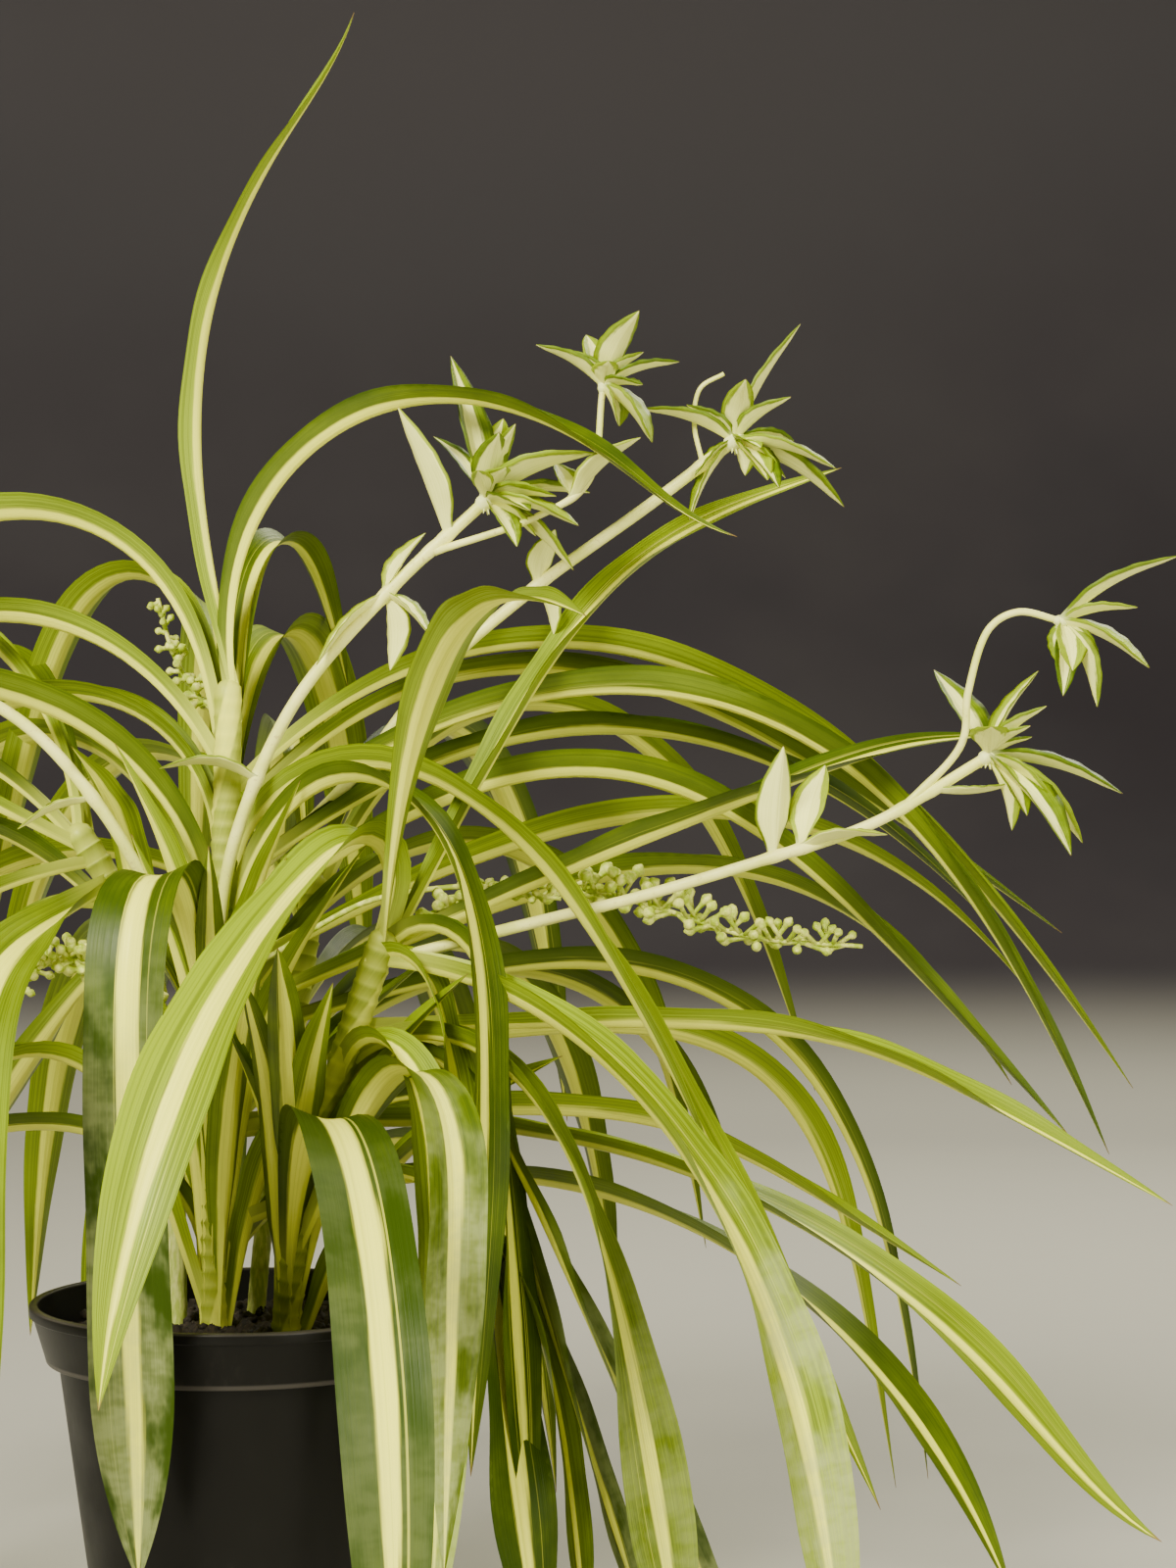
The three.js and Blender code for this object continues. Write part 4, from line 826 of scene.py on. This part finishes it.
def stalk_of(points, radius, joints, steps, taper=0.12):
    """A stalk that thins by taper along its way and swells at its joints as a bell curve."""
    path = along_spline(points, np.linspace(0, 1, steps))
    girth = radius * (0.93 - taper * np.linspace(0, 1, steps))
    if len(joints):
        reach = np.linalg.norm(path[:, None] - np.array(joints, float) / 1000, axis=-1).min(1)
        girth = girth * (1 + JOINT_SWELL * np.exp(-(reach / JOINT_REACH) ** 2))
    return close_skin(stalk_rings(path, girth, 14))


def mark_sprig(piece, bare, place, tone, grown, tones):
    """Marks a stalk or a core with its leaflets: the first, bare points all have one place and
    tone, and each leaflet has its own."""
    places = [np.tile(place, (bare, 1))] + [spots for _, spots in grown]
    toned = [np.full(len(spots), own_tone) for (_, spots), own_tone in zip(grown, tones)]
    toned = np.concatenate([np.full(bare, tone)] + toned)
    mark_leaf(piece, np.concatenate(places), toned, 0 * toned)


for name, (radius, points, branches, bracts) in RUNNERS.items():
    joints = [base for base, _ in bracts] + [way[0] for _, way in branches]
    skins = [stalk_of(points, radius, joints, 160)]
    skins += [stalk_of(way, thin, joints, 60) for thin, way in branches]
    bare, bare_quads, bare_tris = (sum(len(skin[part]) for skin in skins) for part in range(3))
    grown = [leaflet(base, shape) for base, shape in bracts]
    leafy = [skin for skin, _ in grown]
    runner = build_mesh(f"runner_{name}_stalk", join_skins(skins + leafy), stalk_skin)
    tones = 0.3 + 0.6 * (np.arange(len(grown)) * 0.37 % 1)
    mark_sprig(runner, bare, (0.5, 0.5, 0.5), 0.5, grown, tones)
    runner.data.materials.append(bract_leaf)

    # The joined skin has all its quads first and then its triangles, each from the stalk on.
    all_quads = bare_quads + sum(len(skin[1]) for skin in leafy)
    face = np.arange(len(runner.data.polygons))
    on_leaf = np.where(face < all_quads, face >= bare_quads, face - all_quads >= bare_tris)
    runner.data.polygons.foreach_set("material_index", on_leaf.astype(np.int32))
    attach(runner, "root")
    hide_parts(f"runner_{name}")

# ---- plantlets --------------------------------------------------------------------------------
# Young plants on the tips of the stalks: a rosette of short pale leaves with green margins round
# a knobby core, from whose underside the first roots bud.
PLANTLETS = {       # stalk radius and its last two points, in mm, and the shapes of the leaflets
    "a": (2.4, (52, -15, 363), (83, -13, 392), [
        (-10, -10, 53, 6.6, 10), (6, -20, 36, 6), (16, 30, 34, 4), (-26, -35, 44, 4),
        (55, 15, 42, 10), (70, -20, 38, 7), (93, 25, 36, 7), (115, -10, 38, 6.6)]),
    "b": (1.3, (117, -16, 398), (122, -14, 430), [
        (-47, 13, 27, 5), (-10, -22, 24, 5), (18, 24, 31, 6), (58, -10, 28, 5.5),
        (127, 12, 26, 9)]),
    "c": (2.4, (137, 8, 392), (166.4, 8.3, 414.2), [
        (-60, 15, 36, 6), (6, 35, 28, 5), (22, 0, 46, 6, 15), (73, -25, 24, 6), (94, 20, 38, 6.5),
        (107, -10, 45, 8), (130, 40, 22, 7), (-138, 10, 32, 5)]),
    "d": (2.2, (210, -28, 285), (248, -28, 307), [
        (-24, -28, 39, 7, 10), (19, -5, 34, 5), (34, 25, 28, 4.5), (93, 15, 46, 8.5),
        (119, -10, 44, 8), (130, 30, 45, 9)]),
    "e": (1.4, (257, -34, 354), (271, -34, 351), [
        (48, 10, 44, 6), (107, 25, 34, 6.5), (144, -5, 31, 7), (175, 15, 25, 4)]),
    "f": (2.3, (-124, -35, 343), (-176, -35, 350), [
        (-22, 12, 40, 6), (-70, -20, 38, 7), (-100, 30, 42, 8), (-132, -13, 36, 7), (40, 30, 30, 5),
        (165, -30, 28, 6)]),
}
CORE_OVER_STALK, ROOT_BUDS, ROOT_SHARE = 0.5, 5, 0.16       # the share is of the core's radius
plantlet_leaf = leaf_finish("plantlet_leaf", 0.42, PALE_CREAM, (0.33, 0.44, 0.0, 1),
                            (0.07, 0.13, 0.0, 1), (0.86, 0.9, 0.4, 1))
for name, (stalk, before, tip, shapes) in PLANTLETS.items():
    middle, ahead = np.array(tip) / 1000, unit(np.array(tip, float) - np.array(before, float))
    size = (stalk + CORE_OVER_STALK) / 1000
    turned = np.linspace(0.05, np.pi - 0.05, 16)
    core_path = middle - ahead * 1.5 * size * np.cos(turned)[:, None]
    core_girth = size * np.sin(turned) * (1 + 0.06 * np.cos(11 * turned))
    core = close_skin(stalk_rings(core_path, core_girth, 18))
    root_turn = 2.4 * np.arange(ROOT_BUDS)[:, None] + stalk
    downs = [0.6 * np.cos(root_turn), 0.6 * np.sin(root_turn), np.full((ROOT_BUDS, 1), -0.9)]
    downs = unit(np.hstack(downs) - 0.3 * ahead)
    root_way = np.linspace(0.5, 1.7, 8)[:, None] * size
    root_girth = size * ROOT_SHARE * np.linspace(1, 0.3, 8)
    roots = [close_skin(stalk_rings(middle + down * root_way, root_girth, 8)) for down in downs]
    bare = sum(len(skin[0]) for skin in [core, *roots])

    # The heart leaves stand between the outer ones: turned on, mirrored fore to back, and smaller.
    heart = [(lean + 19, 24 - fore, 0.58 * length, 0.85 * width)
             for lean, fore, length, width, *_ in shapes]
    grown = [leaflet(tip, shape, 1.6) for shape in shapes + heart]
    skins = [core, *roots] + [skin for skin, _ in grown]
    rosette = build_mesh(f"plantlet_{name}_rosette", join_skins(skins), plantlet_leaf)
    tones = (0.2 + 0.61 * np.arange(len(grown))) % 1
    mark_sprig(rosette, bare, (0.5, 0.01, 0.0), 0.6, grown, tones)
    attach(rosette, "root")
    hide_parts(f"plantlet_{name}")

# ---- bud sprays -------------------------------------------------------------------------------
# Thin flower stalks whose flowers are over or still to come: round yellow-green buds on short
# stalks of their own, set in a spiral.
BUD_SPRAYS = {      # start of the buds, their joints, reach and size in mm, and the stalk's points
    "1": (0.6, 10, 11, 2.4, [(-6, 0, 233), (10, -1, 240), (26, 5, 250), (45, 8, 259), (88, 8, 264),
                             (115, 8, 262), (141, 8, 256), (173, 8, 246), (210, 8, 243)]),
    "2": (0.25, 9, 9, 2.2, [(-22, 8, 217), (-33, -4, 224), (-48, -6, 237), (-61, -6, 239),
                            (-77, -8, 229)]),
    "3": (0.35, 5, 5, 1.8, [(-4, 3, 318), (-9, 8, 322), (-17, 11, 330), (-24, 10, 343),
                            (-29, 10, 361)]),
    "4": (0.4, 7, 6, 2.1, [(50, -33, 240), (59, -26.6, 249.6), (64, -25, 253), (77, -20, 260),
                           (85, -18, 262), (108, -15, 260)]),
}
BUDS_PER_JOINT, SPRAY_RADIUS = 9, 0.00115
BUD_FOOT, BUD_NECK = 0.0007, 0.0008     # radii of a bud's own stalk, at its start and its end
BUD_WAY = np.array([-1.1, -0.6, -0.15, 0.3, 0.65, 0.85, 0.98])
BUD_GIRTH = np.array([0.5, 0.8, 0.98, 0.85, 0.5, 0.3, 0.12])
BUD_GREEN, BUD_CREAM, BUD_BROWN = (0.42, 0.54, 0.01, 1), (0.84, 0.86, 0.2, 1), (0.32, 0.3, 0.07, 1)


def bud(root, out, length, size):
    """A bud on its own stalk, turned about the way out: a thin foot and neck, and a bulb of the
    given size whose middle lies at length. The bulb's ways and girths are shares of its size."""
    way = np.concatenate([[0, length - 1.9 * size], length + size * BUD_WAY])
    girth = np.concatenate([[BUD_FOOT, BUD_NECK], size * BUD_GIRTH])
    return close_skin(stalk_rings(root + out * way[:, None], girth, 12))


bud_skin, tree, shader = new_material("flower_bud")
place = object_place(tree)
fleck, fuzz = grain(tree, place, 330, 3), grain(tree, place, 1500, 2)
green = tint(tree, ramp(tree, fleck, 0.38, 0.66), BUD_GREEN, BUD_CREAM)
fuzzy = tint(tree, ramp(tree, fuzz, 0.6, 0.78, 0, 0.5), green, BUD_BROWN)
coat(tree, shader, fuzzy, ramp(tree, fuzz, 0.3, 0.7, 0.45, 0.66))
bump(tree, shader, fuzz, 0.3, 0.0003)
for name, (first, joints, reach, size, points) in BUD_SPRAYS.items():
    skins = [stalk_of(points, SPRAY_RADIUS, [], 110, 0.3)]
    crowd = BUDS_PER_JOINT * (joints - 1) + 1
    for n in range(crowd):
        share, joint = n / (crowd - 1), n / BUDS_PER_JOINT
        tilt = np.radians(70 + 40 * np.sin(5 * joint))
        around = np.radians(137.5 * joint + 90 * (n % BUDS_PER_JOINT))
        length = reach * (1.25 - 0.5 * share) * (0.7 + 0.3 * (n * 0.618 % 1)) / 1000
        root = along_spline(points, [first + (0.98 - first) * share])[0]
        skins.append(bud(root, pointing(tilt, around), length, size * (1.05 - 0.4 * share) / 1000))
    spray = build_mesh(f"bud_spray_{name}_stalk", join_skins(skins), bud_skin)
    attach(spray, "root")
    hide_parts(f"bud_spray_{name}")
